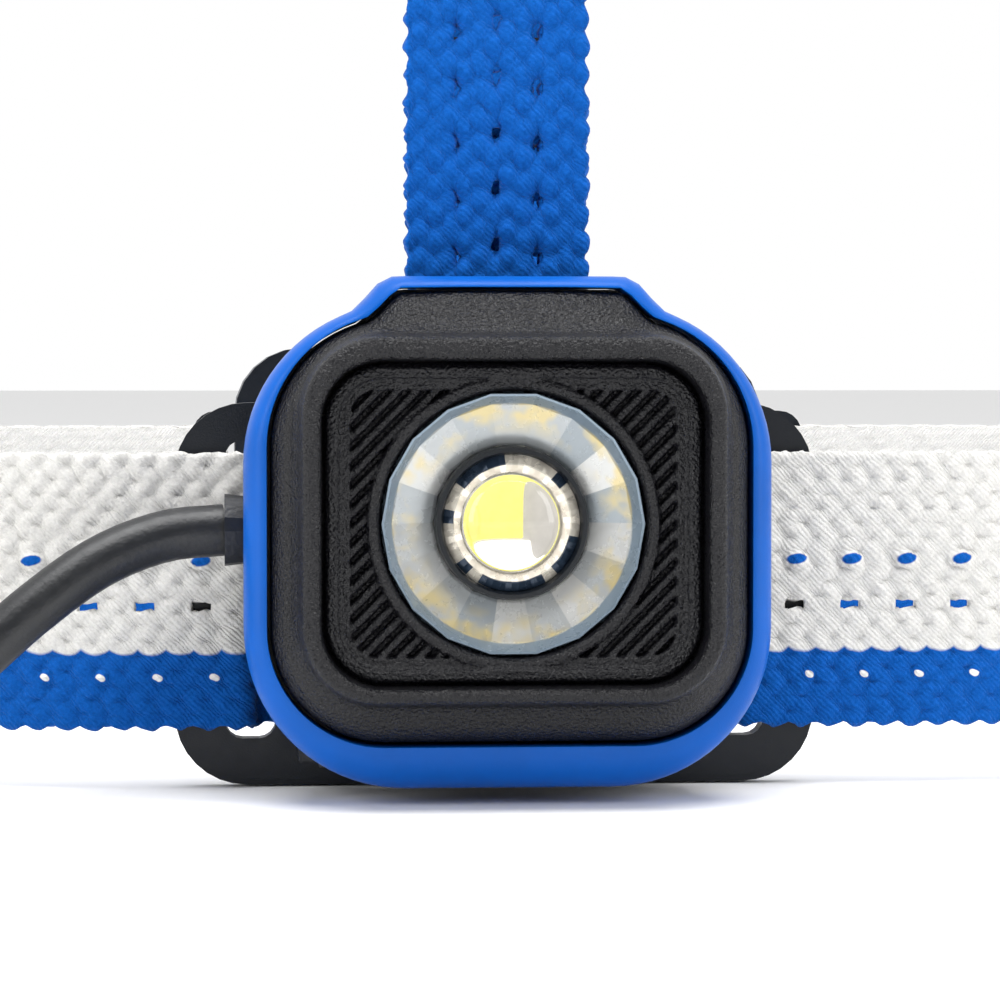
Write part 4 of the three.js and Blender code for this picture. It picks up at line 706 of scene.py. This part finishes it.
def flat_place(flat, across):
    return np.stack([flat[..., 0], flat[..., 1], across], -1)


band_path = rounded_path(list(reversed(half_band(-1))) + half_band(1))
DASHES = [(DASH_LEVEL, 0.6, 0.75, 0.4), (DOT_LEVEL, 1.8, 0.35, 0.3)]
band = webbing("head_band", band_path, flat_place, STRAP_LOW, STRAP_HIGH,
               lambda p: 18 < abs(p[0]) < 58 and p[1] < 12,
               eyelets=[(HOLE_LEVEL, 0.6, 0.8, 0.28)], dips=DASHES)
finish_piece(band, WHITE_KNIT, "white_webbing", "harness", "head_strap")


def crown_place(flat, across):
    return np.stack([across + lean_at(flat[..., 0]), flat[..., 0], flat[..., 1]], -1)


def rear_place(flat, across):
    return np.stack([across + REAR_SHIFT, flat[..., 0], flat[..., 1]], -1)


def crown_path():
    """From the fold sewn behind the front, over the arch, to the cut above the battery pack."""
    fold = rounded_path([(0.7, 62.2), (0.7, 52.2, 4), (INNER_LINE, 47.2, 4), (INNER_LINE, 39.3, BAR_BEND),
                         (FRONT_LINE, 39.3, BAR_BEND), (FRONT_LINE, 67)])
    turn = np.linspace(0, pi / 2, 60)
    front = np.stack([75 + (FRONT_LINE - 75) * np.cos(turn), 73 + 57 * np.sin(turn)], 1)
    rear = np.stack([75 + (REAR_LINE - 75) * np.cos(turn[::-1]), 95 + 35 * np.sin(turn[::-1])], 1)
    end = rounded_path([(REAR_LINE, 88), (REAR_LINE, 43.9, BAR_BEND), (REAR_OUTER, 43.9, BAR_BEND),
                        (REAR_OUTER, 49.8, 3), (REAR_LINE + LAYER, 52.4, 3), (REAR_LINE + LAYER, 54.6)])
    return np.vstack([fold, front, rear[1:], end])


CROWN_COLUMNS = [(-3.65, 0.0, 0.62, 0.22), (0.0, 1.0, 0.62, 0.22), (3.65, 0.0, 0.62, 0.22)]
crown_strap = webbing("crown_band", crown_path(), crown_place, -CROWN_HALF, CROWN_HALF,
                      lambda p: p[0] < 6 and 42 < p[1] < 92,
                      eyelets=CROWN_COLUMNS, dips=[(a, f, 1.1, 0.7) for a, f, *_ in CROWN_COLUMNS], rows=52)
finish_piece(crown_strap, BLUE_KNIT, "blue_webbing", "harness", "crown_strap")


def sewn_end(name, length, low, high, to_frame, place, start, material, node):
    """The webbing from the cut in the second layer to the adjuster, round its middle bar and sewn back down."""
    path = rounded_path([(start, LAYER), (-2.55, LAYER, 1.4), (-2.55, 5.05, 1.4), (2.5, 5.05, 2.5),
                         (6.0, 2 * LAYER, 2.5), (length, 2 * LAYER)])
    made = webbing(name, to_frame(path), place, low, high, lambda p: False, eyelets=[], coarse=0.6, rows=44)
    made.data.materials.append(material)
    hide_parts(node)
    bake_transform(made)
    return made


for side, word in ((-1, "left"), (1, "right")):
    sewn_end(f"{word}_band_end", 16, STRAP_LOW, STRAP_HIGH,
             lambda p, s=side: side_point(s, p[:, 0], p[:, 1]), flat_place,
             TAIL_RUN, WHITE_KNIT, f"{word}_sewn_end")
sewn_end("crown_band_end", 11.2, -CROWN_HALF, CROWN_HALF,
         lambda p: np.stack([REAR_LINE + p[:, 1], CROWN_ADJUSTER_Z - p[:, 0]], 1), rear_place,
         CROWN_ADJUSTER_Z - 54.6, BLUE_KNIT, "crown_sewn_end")

# ---------------------------------------------------------------- the pieces that keep their CAD shape
KEPT = {
    DARK: (["bracket", "left_adjuster", "right_adjuster", "crown_adjuster", "front_lead_clip", "rear_lead_clip",
            "pack_plate", "power_button", "lamp_switch", "pack_switch"], 0.35),
    BLACK_SATIN: (["lamp_housing"], 0.3),
    GREY: (["pack_shell"], 0.3),
    RUBBER: (["lamp_gland", "pack_gland", "pack_button", "port_flap"], 0.3),
    FOAM: (["forehead_pad", "rear_pad"], 0.8),
    BOARD: (["driver_board", "charge_board"], 0.1),
    WHITE_BOARD: (["led_board", "tail_leds"], 0.1),
    METAL: (["heat_sink"], 0.15),
    STEEL: (["tilt_pin", "charge_socket"] + [f"pack_screw_{i}" for i in (1, 2, 3, 4)], 0.12),
    CELL: (["battery_cell"], 0.3),
    RED: (["tail_lens"], 0.2),
}
for material, (names, width) in KEPT.items():
    for name in names:
        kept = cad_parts[name]
        kept.data.materials.clear()
        kept.data.materials.append(material)
        soften(kept, width)

# ---------------------------------------------------------------- floor, light and sky
floor_mesh = bpy.data.meshes.new("floor")
floor_mesh.from_pydata([(-4, -3, 0), (4, -3, 0), (4, 6, 0), (-4, 6, 0)], [], [(0, 1, 2, 3)])
floor = bpy.data.objects.new("floor", floor_mesh)
scene.collection.objects.link(floor)
floor.location.z = -0.0002
paper = Nodes("paper", (0.93, 0.93, 0.93, 1), 0.8)
floor.data.materials.append(paper.bump(paper.noise(300), 0.00002).material)


def soft_light(name, place, target, size, power, color=(1, 1, 1)):
    data = bpy.data.lights.new(name, "AREA")
    data.shape, data.size, data.size_y = "RECTANGLE", size[0], size[1]
    data.energy, data.color = power, color
    made = bpy.data.objects.new(name, data)
    scene.collection.objects.link(made)
    made.location = place
    made.rotation_euler = (Vector(target) - Vector(place)).to_track_quat("-Z", "Y").to_euler()
    return made


CENTRE = (0, 0, 0.024)
soft_light("top_softbox", (0.0, -0.12, 0.75), CENTRE, (0.7, 0.5), 7.5)
soft_light("left_softbox", (-0.75, -0.45, 0.35), CENTRE, (0.4, 0.7), 4.0)
soft_light("right_softbox", (0.75, -0.40, 0.30), CENTRE, (0.4, 0.7), 3.2)

# White all round, and dim where the lamp's front looks, so that the black plastic stays black.
world = bpy.data.worlds.new("world")
scene.world = world
world.use_nodes = True
sky = world.node_tree
background = sky.nodes["Background"]
way = sky.nodes.new("ShaderNodeTexCoord")
parts = sky.nodes.new("ShaderNodeSeparateXYZ")
fade = sky.nodes.new("ShaderNodeMapRange")
fade.inputs["From Min"].default_value, fade.inputs["From Max"].default_value = -0.75, -0.1
fade.inputs["To Min"].default_value, fade.inputs["To Max"].default_value = 0.16, 1.0
sky.links.new(way.outputs["Generated"], parts.inputs[0])
sky.links.new(parts.outputs["Y"], fade.inputs["Value"])
sky.links.new(fade.outputs[0], background.inputs["Strength"])
background.inputs["Color"].default_value = (1, 1, 1, 1)
scene.view_settings.view_transform = "Standard"
scene.view_settings.look = "None"
